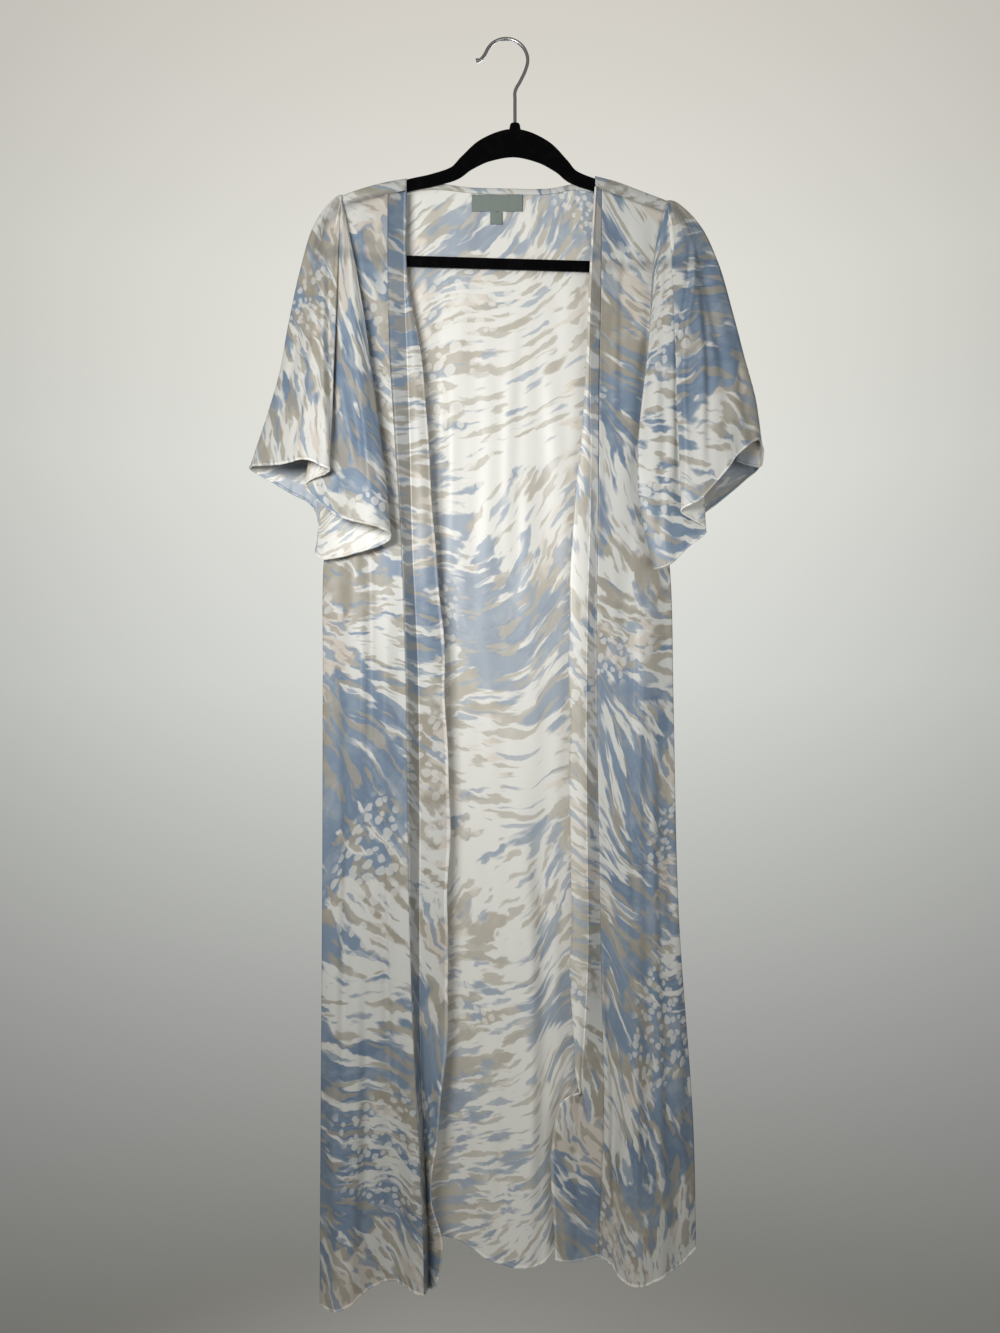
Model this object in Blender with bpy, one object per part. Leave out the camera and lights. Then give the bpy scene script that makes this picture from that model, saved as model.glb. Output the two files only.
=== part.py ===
"""Open duster coat hanging on a slim flocked hanger.

Metres, +Z up, the coat's front faces -Y. The origin is the underside of the hook's crown.
Tables are in millimetres. "drop" is the distance below the origin, "depth" is Y.
Right and left are the wearer's: right is at -X.
"""

import math

import bpy
import numpy as np

MM = 0.001

# Cloth
WALL = 1.2
SEAM_GAP = 0.3
SEAM_STEP = WALL / 2 + SEAM_GAP  # where one wall starts beside the edge of another
TRIM_WALL = 0.8

# Hanger
HANGER_X = 9.2
HANGER_TILT = math.radians(1.7)
HANGER_THICK = 5.6
HANGER_PIVOT = 112.0  # drop of the point that it leans about
COLLAR_TOP = 89.5
COLLAR = ((0.0, 89.5), (5.0, 89.5), (7.0, 92.5), (6.4, 104.0), (0.0, 104.0))  # radius, drop
COLLAR_FLATNESS = 0.62
COLLAR_SIDES = 16
WIRE = 3.6
HOOK_RADIUS = 23.4
HOOK_STEM_X = 9.7
HOOK_NECK = ((9.7, 64.0), (9.9, 55.0), (15.5, 44.0))  # x, drop, from the stem to the crown
HOOK_TIP = ((-25.5, 17.5), (-31.5, 22.0))  # x, drop, from the crown to the tip
HOOK_TIP_SIZE = 1.5  # times the wire

# Grid sizes: the number of cells across and down a piece
FRONT_CELLS = (14, 25)
BAND_CELLS = (6, 25)
BACK_SHOULDER_CELLS = 4
BACK_NECK_CELLS = 15
BACK_DOWN_CELLS = 25
SLEEVE_CELLS_A_FOLD = 2
SLEEVE_DOWN_CELLS = 13

# Hanger centre line on one side of its middle: x, drop, height of the bar there
HANGER = (
    (0.0, 112.0, 28.0),
    (29.0, 119.5, 24.0),
    (50.0, 133.0, 18.0),
    (64.0, 145.3, 14.5),
    (87.5, 153.6, 13.0),
    (116.5, 161.0, 12.4),
    (161.0, 177.5, 12.4),
    (185.5, 191.5, 12.2),
    (197.5, 204.0, 12.0),
    (205.5, 219.5, 11.8),
    (207.5, 231.5, 11.6),
    (201.0, 240.5, 11.5),
    (187.0, 241.7, 11.5),
    (100.0, 241.7, 11.5),
    (0.0, 241.7, 11.5),
)

# Top line of the cloth over the hanger's arms: x, drop. Forward shoulder seam: its two ends.
RIDGE_RIGHT = ((-178.0, 168.0), (-170.0, 165.0), (-152.0, 159.0), (-129.0, 153.0), (-107.0, 149.0))
RIDGE_LEFT = ((96.0, 146.5), (119.0, 152.5), (144.0, 162.0), (169.0, 171.5), (175.0, 174.0))
SHOULDER_RIGHT = ((-178.0, 181.0), (-107.0, 164.0))
SHOULDER_LEFT = ((96.0, 161.5), (175.0, 188.5))

# Armhole, then side seam: drop, x, depth of the front's edge, depth of the back's edge
OUTER_RIGHT = (
    (168.0, -178.0, -5.0, 4.9),
    (211.0, -170.0, -5.6, 5.1),
    (246.0, -163.5, -6.2, 5.3),
    (280.0, -158.0, -6.6, 5.4),
    (315.0, -156.0, -6.6, 5.4),
    (360.0, -164.0, -5.6, 5.0),
    (392.0, -179.0, -3.2, 3.2),
    (412.0, -189.0, -0.9, 0.9),
    (450.0, -191.5, -0.9, 0.9),
    (520.0, -193.5, -0.9, 0.9),
    (570.0, -197.0, -0.9, 0.9),
    (677.0, -197.5, -0.9, 0.9),
    (907.0, -197.5, -4.9, -3.1),
    (1141.0, -198.0, -10.9, -9.1),
    (1360.0, -198.0, -18.9, -17.1),
)
OUTER_LEFT = (
    (174.0, 175.0, -5.0, 4.9),
    (211.0, 164.5, -5.5, 5.1),
    (240.0, 159.5, -6.1, 5.3),
    (275.0, 156.5, -6.5, 5.4),
    (310.0, 155.0, -6.6, 5.4),
    (350.0, 157.5, -6.0, 5.2),
    (386.0, 164.5, -3.6, 3.6),
    (412.0, 171.0, -0.9, 0.9),
    (450.0, 172.5, -0.9, 0.9),
    (530.0, 174.0, -0.9, 0.9),
    (590.0, 178.0, -0.9, 0.9),
    (706.0, 180.5, -0.9, 0.9),
    (937.0, 186.0, -0.9, 0.9),
    (1189.0, 203.0, 1.1, 2.9),
    (1330.0, 206.0, 3.1, 4.9),
)

# Front edge: drop, then x and depth of the band's seam, of its crease and of its free edge
EDGE_RIGHT = (
    (160.0, -127.0, -6.0, -108.6, -6.5, -107.0, -6.4),
    (262.0, -127.0, -7.5, -108.4, -8.0, -105.6, -7.6),
    (343.0, -124.5, -9.5, -105.5, -8.8, -91.0, -8.5),
    (425.0, -119.0, -12.0, -103.0, -9.0, -83.5, -9.0),
    (540.0, -112.0, -14.0, -100.5, -8.5, -76.0, -9.0),
    (674.0, -107.0, -16.0, -94.5, -7.5, -66.0, -8.5),
    (808.0, -105.0, -18.0, -92.8, -7.0, -61.0, -8.0),
    (966.0, -100.0, -20.0, -91.5, -6.0, -62.0, -9.0),
    (1097.0, -92.5, -24.0, -87.6, -5.0, -65.0, -10.0),
    (1169.0, -88.0, -27.0, -84.5, -4.0, -73.0, -13.0),
    (1248.0, -84.0, -29.0, -81.0, -3.0, -73.0, -15.0),
    (1340.0, -84.0, -30.0, -80.5, -2.0, -72.0, -16.0),
)
EDGE_LEFT = (
    (160.0, 103.0, -6.0, 97.2, -6.5, 95.5, -6.4),
    (248.0, 102.5, -6.7, 93.0, -8.0, 90.0, -7.6),
    (369.0, 100.0, -9.8, 90.0, -9.0, 85.0, -8.8),
    (445.0, 99.3, -11.8, 91.0, -8.6, 79.0, -8.5),
    (500.0, 98.7, -13.0, 90.5, -8.3, 72.5, -8.5),
    (605.0, 97.0, -15.0, 87.6, -7.6, 69.0, -8.5),
    (744.0, 97.0, -17.0, 86.0, -7.0, 67.5, -8.0),
    (880.0, 99.0, -18.6, 87.0, -7.0, 69.5, -8.0),
    (975.0, 100.5, -19.6, 88.0, -7.0, 68.0, -8.0),
    (1087.0, 103.0, -20.0, 82.5, -7.0, 64.0, -8.0),
    (1133.0, 103.8, -19.0, 79.5, -7.0, 56.0, -8.0),
    (1175.0, 103.5, -18.0, 77.5, -7.0, 49.0, -8.0),
    (1240.0, 100.5, -16.0, 76.0, -7.6, 48.0, -8.0),
    (1316.0, 98.0, -14.0, 76.0, -8.0, 53.0, -9.0),
)

# Hem heights of a band at its seam, crease and free edge (drops)
BAND_HEM_RIGHT = (1338.0, 1345.0, 1338.0)
BAND_HEM_LEFT = (1305.0, 1314.0, 1312.0)

# Fronts: where the folds stand across the width, and their depth at shares of the way down.
# Across is 0 at the armhole and side seam and 1 at the band.
FOLDS_RIGHT = (0.0, 0.2, 0.33, 0.46, 0.6, 0.72, 0.88, 1.0)
DEPTHS_RIGHT = (
    (0.0, -5.2, -5.2, -5.2, -5.2, -5.2, -5.3, -5.6, -6.0),
    (0.06, -5.7, -5.7, -5.7, -5.7, -5.8, -6.0, -6.6, -7.2),
    (0.13, -6.5, -7.0, -7.0, -7.2, -7.4, -7.8, -8.8, -9.6),
    (0.19, -2.5, -6.2, -8.0, -9.0, -10.0, -10.5, -11.4, -12.0),
    (0.33, -0.9, -6.6, -9.2, -11.0, -12.0, -12.6, -13.5, -14.0),
    (0.45, -0.9, -8.5, -12.0, -14.0, -15.0, -15.5, -16.0, -16.0),
    (0.65, -5.0, -14.0, -16.5, -16.5, -16.5, -17.0, -18.5, -19.5),
    (0.8, -10.0, -24.0, -25.0, -19.0, -15.5, -15.5, -20.0, -24.0),
    (1.0, -18.6, -40.0, -37.0, -20.0, -11.0, -11.0, -23.0, -30.0),
)
HEM_RIGHT = (1355.0, 1348.0, 1342.0, 1337.0, 1334.0, 1334.0, 1337.0, 1338.0)

FOLDS_LEFT = (0.0, 0.18, 0.44, 0.65, 0.79, 0.88, 1.0)
DEPTHS_LEFT = (
    (0.0, -5.2, -5.2, -5.2, -5.2, -5.3, -5.5, -6.0),
    (0.06, -5.7, -5.7, -5.7, -5.8, -6.0, -6.3, -6.6),
    (0.13, -6.5, -7.0, -7.2, -7.6, -8.0, -8.4, -8.8),
    (0.19, -2.5, -6.2, -8.6, -10.0, -11.0, -11.4, -12.0),
    (0.33, -0.9, -6.6, -10.5, -12.6, -13.4, -14.0, -14.2),
    (0.45, -0.9, -8.0, -13.0, -15.0, -15.6, -16.0, -16.0),
    (0.65, -0.9, -8.5, -16.0, -19.0, -19.4, -19.2, -19.0),
    (0.8, -0.3, -8.5, -20.0, -25.0, -23.5, -21.0, -20.0),
    (1.0, 3.1, -10.0, -28.0, -34.0, -29.0, -20.0, -14.0),
)
HEM_LEFT = (1306.0, 1317.0, 1323.0, 1326.0, 1321.0, 1311.0, 1305.0)

# Back: where its folds stand across the width, and their depth at shares of the way down
FOLDS_BACK = (0.0, 0.07, 0.2, 0.3, 0.36, 0.46, 0.53, 0.6, 0.64, 0.76, 0.93, 1.0)
DEPTHS_BACK = (
    (0.0, 4.9, 4.9, 4.9, 4.9, 4.9, 4.9, 4.9, 4.9, 4.9, 4.9, 4.9, 4.9),
    (0.1, 5.4, 5.4, 5.2, 5.2, 5.2, 5.2, 5.2, 5.2, 5.2, 5.2, 5.4, 5.4),
    (0.2, 2.6, 4.6, 5.8, 6.0, 6.0, 6.0, 6.0, 6.0, 6.0, 5.8, 4.6, 2.6),
    (0.34, 0.9, 4.4, 7.0, 8.0, 8.0, 7.0, 6.5, 7.0, 8.0, 7.0, 4.4, 0.9),
    (0.7, -2.9, 2.0, 8.0, 10.0, 9.0, 6.0, 4.5, 6.5, 9.5, 8.0, 5.0, 0.9),
    (1.0, -16.6, -9.0, 6.0, 11.0, 9.5, 2.0, -1.0, 3.5, 11.0, 10.0, 8.0, 5.2),
)
HEM_BACK = (
    *(1355.0, 1338.0, 1302.0, 1296.0, 1301.0, 1321.0),
    *(1326.0, 1319.0, 1300.0, 1293.0, 1301.0, 1306.0),
)

# Back neckline: x, drop. Neck trim sits just inside it.
NECKLINE = (
    (-107.0, 157.0),
    (-73.0, 153.5),
    (-40.0, 157.0),
    (-1.0, 158.2),
    (56.0, 157.0),
    (70.0, 154.0),
    (96.0, 157.0),
)
NECK_BAND_DEEP = 6.0
NECK_BAND_CELLS = 18
BELOW_RIDGE = 12.0  # from the ridge over the hanger's arm to the back's first full row
LABEL = (-37.0, 18.0, 165.0, 183.0)  # from x, to x, from drop, to drop
SIZE_TAB = (-17.0, -4.0, 183.6, 197.0)
LABEL_CELLS = (4, 2)
SIZE_TAB_CELLS = (2, 2)

# Sleeve, one row for each fold of its hem, from the underarm seam round the front to the back:
# share of the way round the armhole where the fold starts, then hem x, depth, drop,
# and how far the fold sways sideways on its way down
SLEEVE_RIGHT = (
    (0.00, -204.0, -4.0, 557.0, 0.0),
    (0.07, -188.0, -14.0, 562.0, 0.0),
    (0.15, -157.0, -22.0, 556.0, 0.0),
    (0.22, -130.0, -28.0, 548.0, 0.0),
    (0.27, -120.0, -38.0, 540.0, 0.0),
    (0.31, -132.0, -50.0, 533.0, 0.0),
    (0.355, -159.0, -47.0, 526.0, 0.0),
    (0.39, -182.0, -37.0, 516.0, 0.0),
    (0.415, -211.0, -28.0, 486.0, 0.0),
    (0.435, -184.0, -44.0, 475.0, 0.0),
    (0.45, -190.0, -52.0, 470.0, 0.0),
    (0.47, -208.0, -51.0, 463.0, 0.0),
    (0.49, -236.0, -35.0, 465.0, 0.0),
    (0.53, -276.5, -2.0, 462.0, 0.0),
    (0.60, -256.0, 8.5, 475.0, 0.0),
    (0.68, -234.0, 10.5, 488.0, 0.0),
    (0.78, -213.0, 10.5, 500.0, 0.0),
    (0.90, -203.0, 6.0, 523.0, 0.0),
)
SLEEVE_LEFT = (
    (0.00, 184.0, -4.0, 553.0, 0.0),
    (0.12, 170.0, -15.0, 565.0, -5.0),
    (0.27, 156.0, -27.0, 574.0, -17.0),
    (0.34, 171.0, -36.0, 570.0, -14.0),
    (0.38, 191.0, -33.0, 551.0, -6.0),
    (0.41, 210.0, -31.0, 533.0, 0.0),
    (0.43, 181.5, -45.0, 516.0, 0.0),
    (0.45, 200.0, -53.0, 504.0, 0.0),
    (0.47, 228.0, -50.0, 472.0, 0.0),
    (0.49, 255.0, -37.0, 443.0, 0.0),
    (0.53, 274.0, -5.0, 450.0, 0.0),
    (0.60, 266.0, 8.5, 471.0, 0.0),
    (0.70, 235.0, 10.5, 495.0, 0.0),
    (0.80, 217.0, 10.5, 509.0, 0.0),
    (0.92, 194.0, 7.0, 530.0, 0.0),
)
# How a fold falls: share of its length, share of the way down, share of the way out at the
# end of the right and of the left shoulder, share of the way out elsewhere, share of its stand-off
FALL = (
    (0.00, 0.000, 0.00, 0.00, 0.00, 0.00),
    (0.05, 0.004, 0.08, 0.10, 0.02, 0.55),
    (0.10, 0.034, 0.18, 0.21, 0.07, 0.85),
    (0.19, 0.10, 0.31, 0.37, 0.16, 1.00),
    (0.35, 0.25, 0.45, 0.56, 0.34, 1.00),
    (0.55, 0.47, 0.59, 0.72, 0.56, 0.80),
    (0.71, 0.65, 0.685, 0.84, 0.73, 0.55),
    (0.85, 0.81, 0.815, 0.95, 0.87, 0.25),
    (1.00, 1.000, 1.00, 1.00, 1.00, 0.00),
)
STAND_OFF_FRONT = -6.0
STAND_OFF_BACK = 4.0
UNDERARM = 412.0
ARMHOLE_SHARE = 0.2  # share of a panel's length beside the armhole
LAP = 1.0  # how far a sleeve laps over the armhole's edge
LAP_STEP = WALL + 2 * SEAM_GAP  # and how far out it lies there
UNDERARM_STEP = 2.4  # how far outside the side seam its lowest point starts
UNDERARM_REACH = 0.1  # share of the armhole on each side over which the lap fades to that
OVER_ARM = 4.9  # half the width of the cloth's bend over the hanger's arm


def smooth(stations, values, at):
    """Points on the cubic curve through values at stations, for any array of places."""
    stations = np.asarray(stations, float)
    values = np.asarray(values, float)
    slopes = np.gradient(values, stations, axis=0)
    at = np.clip(np.asarray(at, float), stations[0], stations[-1])
    i = np.clip(np.searchsorted(stations, at) - 1, 0, len(stations) - 2)
    wide = stations[i + 1] - stations[i]
    t = (at - stations[i]) / wide
    extra = (slice(None),) * t.ndim + (None,) * (values.ndim - 1)
    t, wide = t[extra], wide[extra]
    rise = values[i] * (1 + 2 * t) * (1 - t) ** 2 + values[i + 1] * t * t * (3 - 2 * t)
    lean = slopes[i] * t * (1 - t) ** 2 - slopes[i + 1] * t * t * (1 - t)
    return rise + lean * wide


def columns(table, key, *wanted):
    """A table's key column and some others, as arrays."""
    table = np.asarray(table, float)
    return table[:, key], table[:, list(wanted)]


def outer_line(table, drop):
    """x, front depth and back depth of the armhole and side seam at each drop."""
    drops, rest = columns(table, 0, 1, 2, 3)
    found = smooth(drops, rest, drop)
    return found[..., 0], found[..., 1], found[..., 2]


def depth_at(folds, depths, across, down):
    """Depth of a panel at each pair of shares, across and down."""
    downs, rest = columns(depths, 0, *range(1, len(folds) + 1))
    rows = smooth(downs, rest, down)
    flat = rows.reshape(-1, len(folds))
    found = [smooth(folds, row, place) for row, place in zip(flat, across.ravel())]
    return np.array(found).reshape(across.shape)


def to_outer(y, from_edge, edge_depth):
    """Depths drawn in to a panel's outer edge, where from_edge is 0."""
    at_edge = y[:, :1] if from_edge[0, 0] == 0 else y[:, -1:]
    near = np.clip(1 - from_edge / 0.2, 0, 1) ** 2
    return y + (edge_depth - at_edge) * near


def down_shares(cells):
    """Shares down a panel, closer together beside the armhole."""
    upper = cells * 2 // 5
    beside = np.linspace(0, ARMHOLE_SHARE, upper + 1)
    below = np.linspace(ARMHOLE_SHARE, 1, cells - upper + 1)
    return np.concatenate([beside, below[1:]])


def seam_drop(shoulder, x):
    """Drop of the forward shoulder seam, which is straight."""
    (x0, drop0), (x1, drop1) = shoulder
    return drop0 + (drop1 - drop0) * (x - x0) / (x1 - x0)


def front_grid(outer, edge, shoulder, folds, depths, hem, cells):
    """Middle surface of a front, from its forward shoulder seam to its hem."""
    across, down = np.meshgrid(np.linspace(0, 1, cells[0] + 1), down_shares(cells[1]))
    drops, seam = columns(edge, 0, 1)
    start_x = min((end for end, _ in shoulder), key=lambda x: -abs(x))
    top = seam_drop(shoulder, start_x + (seam[0, 0] - start_x) * across)
    drop = top + (smooth(folds, hem, across) - top) * down
    x_out, depth_out, _ = outer_line(outer, drop)
    x_in = smooth(drops, seam[:, 0], drop)
    x = x_out + (x_in - x_out) * across
    y = to_outer(depth_at(folds, depths, across, down), across, depth_out)
    return np.stack([x, y, -drop], axis=-1)


def band_grid(edge, shoulder, hem, inward, cells):
    """Middle surface of a front band: its seam, its crease and its free edge."""
    across, down = np.meshgrid(np.linspace(0, 2, cells[0] + 1), down_shares(cells[1]))
    drops, lines = columns(edge, 0, 1, 2, 3, 4, 5, 6)
    top = seam_drop(shoulder, lines[0, 0] + (lines[0, 4] - lines[0, 0]) * across / 2)
    drop = top + (smooth((0, 1, 2), hem, across) - top) * down
    found = smooth(drops, lines, drop)
    first = np.minimum(across, 1)
    second = np.maximum(across - 1, 0)
    seam, crease, free = found[..., 0:2], found[..., 2:4], found[..., 4:6]
    flat = seam + (crease - seam) * first[..., None] + (free - crease) * second[..., None]
    x = flat[..., 0] + inward * SEAM_STEP * (1 - across / 2)
    return np.stack([x, flat[..., 1], -drop], axis=-1)


def back_shares():
    """Shares across the back for its columns, with one at each end of the neckline."""
    right = SHOULDER_RIGHT[0][0]
    wide = SHOULDER_LEFT[-1][0] - right
    neck = (SHOULDER_RIGHT[-1][0] - right) / wide, (SHOULDER_LEFT[0][0] - right) / wide
    parts = (
        np.linspace(0, neck[0], BACK_SHOULDER_CELLS + 1),
        np.linspace(neck[0], neck[1], BACK_NECK_CELLS + 1)[1:],
        np.linspace(neck[1], 1, BACK_SHOULDER_CELLS + 1)[1:],
    )
    return np.concatenate(parts)


def back_top(x):
    """Drop of the back's first full row: the neckline, and a little below the ridge beside it."""
    beside = [(row[0], row[1] + BELOW_RIDGE) for row in RIDGE_RIGHT[:-1]]
    beyond = [(row[0], row[1] + BELOW_RIDGE) for row in RIDGE_LEFT[1:]]
    line, drop = columns(tuple(beside) + NECKLINE + tuple(beyond), 0, 1)
    return smooth(line, drop[:, 0], x)


def back_point(across, down):
    """The back's middle surface at shares across and down."""
    right, left = SHOULDER_RIGHT[0][0], SHOULDER_LEFT[-1][0]
    top = back_top(right + (left - right) * across)
    drop = top + (smooth(FOLDS_BACK, HEM_BACK, across) - top) * down
    x_right, _, depth_right = outer_line(OUTER_RIGHT, drop)
    x_left, _, depth_left = outer_line(OUTER_LEFT, drop)
    x = x_right + (x_left - x_right) * across
    y = depth_at(FOLDS_BACK, DEPTHS_BACK, across, down)
    y = to_outer(y, across, depth_right)
    y = to_outer(y, 1 - across, depth_left)
    return np.stack([x, y, -drop], axis=-1)


def over_arm(ridge_line, shoulder, x):
    """Rows of the back's shoulder, from the forward seam over the hanger's arm."""
    line, drops = columns(ridge_line, 0, 1)
    ridge = smooth(line, drops[:, 0], x) + WALL / 2
    near = np.full_like(x, -OVER_ARM)
    rows = [np.stack([x, near, SEAM_GAP - seam_drop(shoulder, x)], axis=-1)]
    for turn in np.radians((180, 125, 90, 55, 0)):
        y = np.full_like(x, OVER_ARM * math.cos(turn))
        z = -(ridge + OVER_ARM * (1 - math.sin(turn)))
        rows.append(np.stack([x, y, z], axis=-1))
    return np.array(rows)


def back_grid():
    """The back's rows, and which cells of them hold cloth: none above the neckline."""
    shares = back_shares()
    across, down = np.meshgrid(shares, down_shares(BACK_DOWN_CELLS))
    main = back_point(across, down)
    x = SHOULDER_RIGHT[0][0] + (SHOULDER_LEFT[-1][0] - SHOULDER_RIGHT[0][0]) * shares
    n = BACK_SHOULDER_CELLS
    wrap = np.zeros((6, len(x), 3))
    wrap[:, : n + 1] = over_arm(RIDGE_RIGHT, SHOULDER_RIGHT, x[: n + 1])
    wrap[:, -n - 1 :] = over_arm(RIDGE_LEFT, SHOULDER_LEFT, x[-n - 1 :])
    kept = np.ones((len(wrap) + len(main) - 1, len(x) - 1), bool)
    kept[: len(wrap), n:-n] = False
    return np.concatenate([wrap, main]), kept


def on_back(from_x, to_x, from_drop, to_drop, cells, out):
    """A patch of the back's points, moved out towards the front."""
    xs = np.linspace(from_x, to_x, cells[0] + 1)
    x, drop = np.meshgrid(xs, np.linspace(from_drop, to_drop, cells[1] + 1))
    right, _, _ = outer_line(OUTER_RIGHT, drop)
    left, _, _ = outer_line(OUTER_LEFT, drop)
    across = (x - right) / (left - right)
    top = back_top(x)
    down = np.clip((drop - top) / (smooth(FOLDS_BACK, HEM_BACK, across) - top), 0, 1)
    depth = depth_at(FOLDS_BACK, DEPTHS_BACK, across, down)
    return np.stack([x, depth - out, -drop], axis=-1)


def neck_band_grid(cells):
    """The neck band, along the back neckline on the side that shows."""
    ends = RIDGE_RIGHT[-1][0] + 1.0, RIDGE_LEFT[0][0] - 1.0
    x, deep = np.meshgrid(np.linspace(*ends, cells + 1), np.array([0.0, 0.5, 1.0]))
    drop = back_top(x) + deep * NECK_BAND_DEEP
    y = np.full_like(x, DEPTHS_BACK[0][1] - SEAM_STEP - TRIM_WALL / 2)
    return np.stack([x, y, -drop], axis=-1)


def under_arm(shares, reach=0.04):
    """How near each share of the armhole is to its lowest point."""
    return np.exp(-((np.minimum(shares, 1 - shares) / reach) ** 2))


def armhole(outer, side, shares):
    """Where a sleeve starts: lapped on the armhole's edge, from the underarm up the front,
    over the hanger's arm and down the back."""
    ridge = outer[0][0] + WALL / 2
    reach = OVER_ARM + LAP_STEP
    up = np.sin((1 - np.abs(2 * shares - 1)) * math.pi / 2)
    drop = UNDERARM + (ridge - LAP_STEP - UNDERARM) * up
    x, front, back = outer_line(outer, drop)
    low = under_arm(shares)
    y = np.where(shares < 0.5, front - LAP_STEP, back + LAP_STEP) * (1 - low)
    bend = np.clip((ridge + OVER_ARM - drop) / reach, 0, 1)
    y = y * np.sqrt(1 - bend**2)
    beside = (LAP + UNDERARM_STEP) * under_arm(shares, UNDERARM_REACH) - LAP
    return np.stack([x + side * beside, y, -drop], axis=-1)


def sleeve_grid(table, outer, side, cells_a_fold, down_cells):
    """A sleeve as a tube: rings from the armhole to the hem, closed round."""
    rows = np.asarray(table, float)
    folds = len(rows)
    ring = np.concatenate([rows[-2:], rows, rows[:3]])
    ring[:2, 0] -= 1
    ring[-3:, 0] += 1
    places = np.linspace(0, folds, folds * cells_a_fold, endpoint=False)
    found = smooth(np.arange(-2, folds + 3), ring, places)
    share = np.clip(found[:, 0], 0, 1)
    start = armhole(outer, side, share)
    hem = np.stack([found[:, 1], found[:, 2], -found[:, 3]], axis=-1)
    along, fall = columns(FALL, 0, 1, 2, 3, 4, 5)
    lengths = np.linspace(0, 1, down_cells + 1) ** 1.25
    down, right_out, left_out, near_out, stand = smooth(along, fall, lengths).T
    far_out = right_out if side < 0 else left_out
    shoulder = np.exp(-(((share - 0.53) / 0.11) ** 2))
    low = under_arm(share)
    out = near_out[:, None] + (far_out - near_out)[:, None] * np.maximum(shoulder, low)
    x = start[:, 0] + (hem[:, 0] - start[:, 0]) * out
    x = x + found[:, 4] * np.sin(math.pi * down[:, None] ** 1.8)
    front = np.where(share < 0.5, STAND_OFF_FRONT, STAND_OFF_BACK) * (1 - shoulder) * (1 - low)
    y = start[:, 1] + (hem[:, 1] - start[:, 1]) * down[:, None] + front * stand[:, None]
    z = start[:, 2] + (hem[:, 2] - start[:, 2]) * down[:, None]
    return np.stack([x, y, z], axis=-1)


def principled(name, colour, roughness, metallic=0.0):
    made = bpy.data.materials.new(name)
    made.use_nodes = True
    node = made.node_tree.nodes["Principled BSDF"]
    node.inputs["Base Color"].default_value = (*colour, 1.0)
    node.inputs["Roughness"].default_value = roughness
    node.inputs["Metallic"].default_value = metallic
    return made


def new_object(name, points, faces, material):
    mesh = bpy.data.meshes.new(name)
    mesh.from_pydata([tuple(p) for p in np.asarray(points) * MM], [], faces)
    mesh.materials.append(material)
    made = bpy.data.objects.new(name, mesh)
    bpy.context.scene.collection.objects.link(made)
    return made


def sheet(name, grid, material, wall=WALL, kept=None, closed=False):
    """A cloth piece: its middle surface, given a wall."""
    rows, wide = grid.shape[:2]
    cells = wide if closed else wide - 1
    faces = []
    for i in range(rows - 1):
        for j in range(cells):
            if kept is None or kept[i, j]:
                k = (j + 1) % wide
                a, b = i * wide, (i + 1) * wide
                faces.append((a + j, a + k, b + k, b + j))
    used = sorted({v for face in faces for v in face})
    place = {v: n for n, v in enumerate(used)}
    points = grid.reshape(-1, 3)[used]
    faces = [tuple(place[v] for v in face) for face in faces]
    made = new_object(name, points, faces, material)
    thick = made.modifiers.new("wall", "SOLIDIFY")
    thick.thickness = wall * MM
    thick.offset = 0.0
    thick.use_rim = True
    return made


def hanger_body(material):
    """The flocked loop, swept round its centre line, with its collar joined on."""
    half = np.asarray(HANGER, float)
    other = half[-2:0:-1] * (-1, 1, 1)
    loop = np.concatenate([half, other])
    count = len(loop)
    wrapped = np.concatenate([loop[-2:], loop, loop[:3]])
    places = np.linspace(0, count, count * 2, endpoint=False)
    found = smooth(np.arange(-2, count + 3), wrapped, places)
    centre = np.stack([found[:, 0], np.zeros(len(found)), -found[:, 1]], axis=-1)
    along = np.roll(centre, -1, axis=0) - np.roll(centre, 1, axis=0)
    along /= np.linalg.norm(along, axis=1)[:, None]
    upward = np.stack([-along[:, 2], np.zeros(len(along)), along[:, 0]], axis=-1)
    turns = np.linspace(0, 2 * math.pi, 8, endpoint=False) + math.pi / 8
    bulge = np.sign(np.cos(turns)) * np.abs(np.cos(turns)) ** 0.6
    depth = np.sign(np.sin(turns)) * np.abs(np.sin(turns)) ** 0.6 * HANGER_THICK / 2
    heights = bulge[None, :] * found[:, 2:3] / 2
    points = centre[:, None] + upward[:, None] * heights[..., None]
    points[:, :, 1] += depth
    flat = points.reshape(-1, 3)
    around = len(turns)
    faces = []
    for i in range(len(found)):
        for j in range(around):
            a, b = i * around, ((i + 1) % len(found)) * around
            k = (j + 1) % around
            faces.append((a + j, b + j, b + k, a + k))
    body = new_object("hanger_body", tilted(flat), faces, material)
    collar = lathe("collar", COLLAR, COLLAR_SIDES, material)
    join = body.modifiers.new("collar", "BOOLEAN")
    join.operation = "UNION"
    join.solver = "EXACT"
    join.object = collar
    collar.hide_render = True
    collar.display_type = "WIRE"
    return body


def tilted(points):
    """Points of the hanger, set at its place and hung a little askew."""
    x, y, z = np.asarray(points, float).T
    sin, cos = math.sin(HANGER_TILT), math.cos(HANGER_TILT)
    up = z + HANGER_PIVOT
    return np.stack([HANGER_X + x * cos + up * sin, y, up * cos - x * sin - HANGER_PIVOT], axis=-1)


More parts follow.
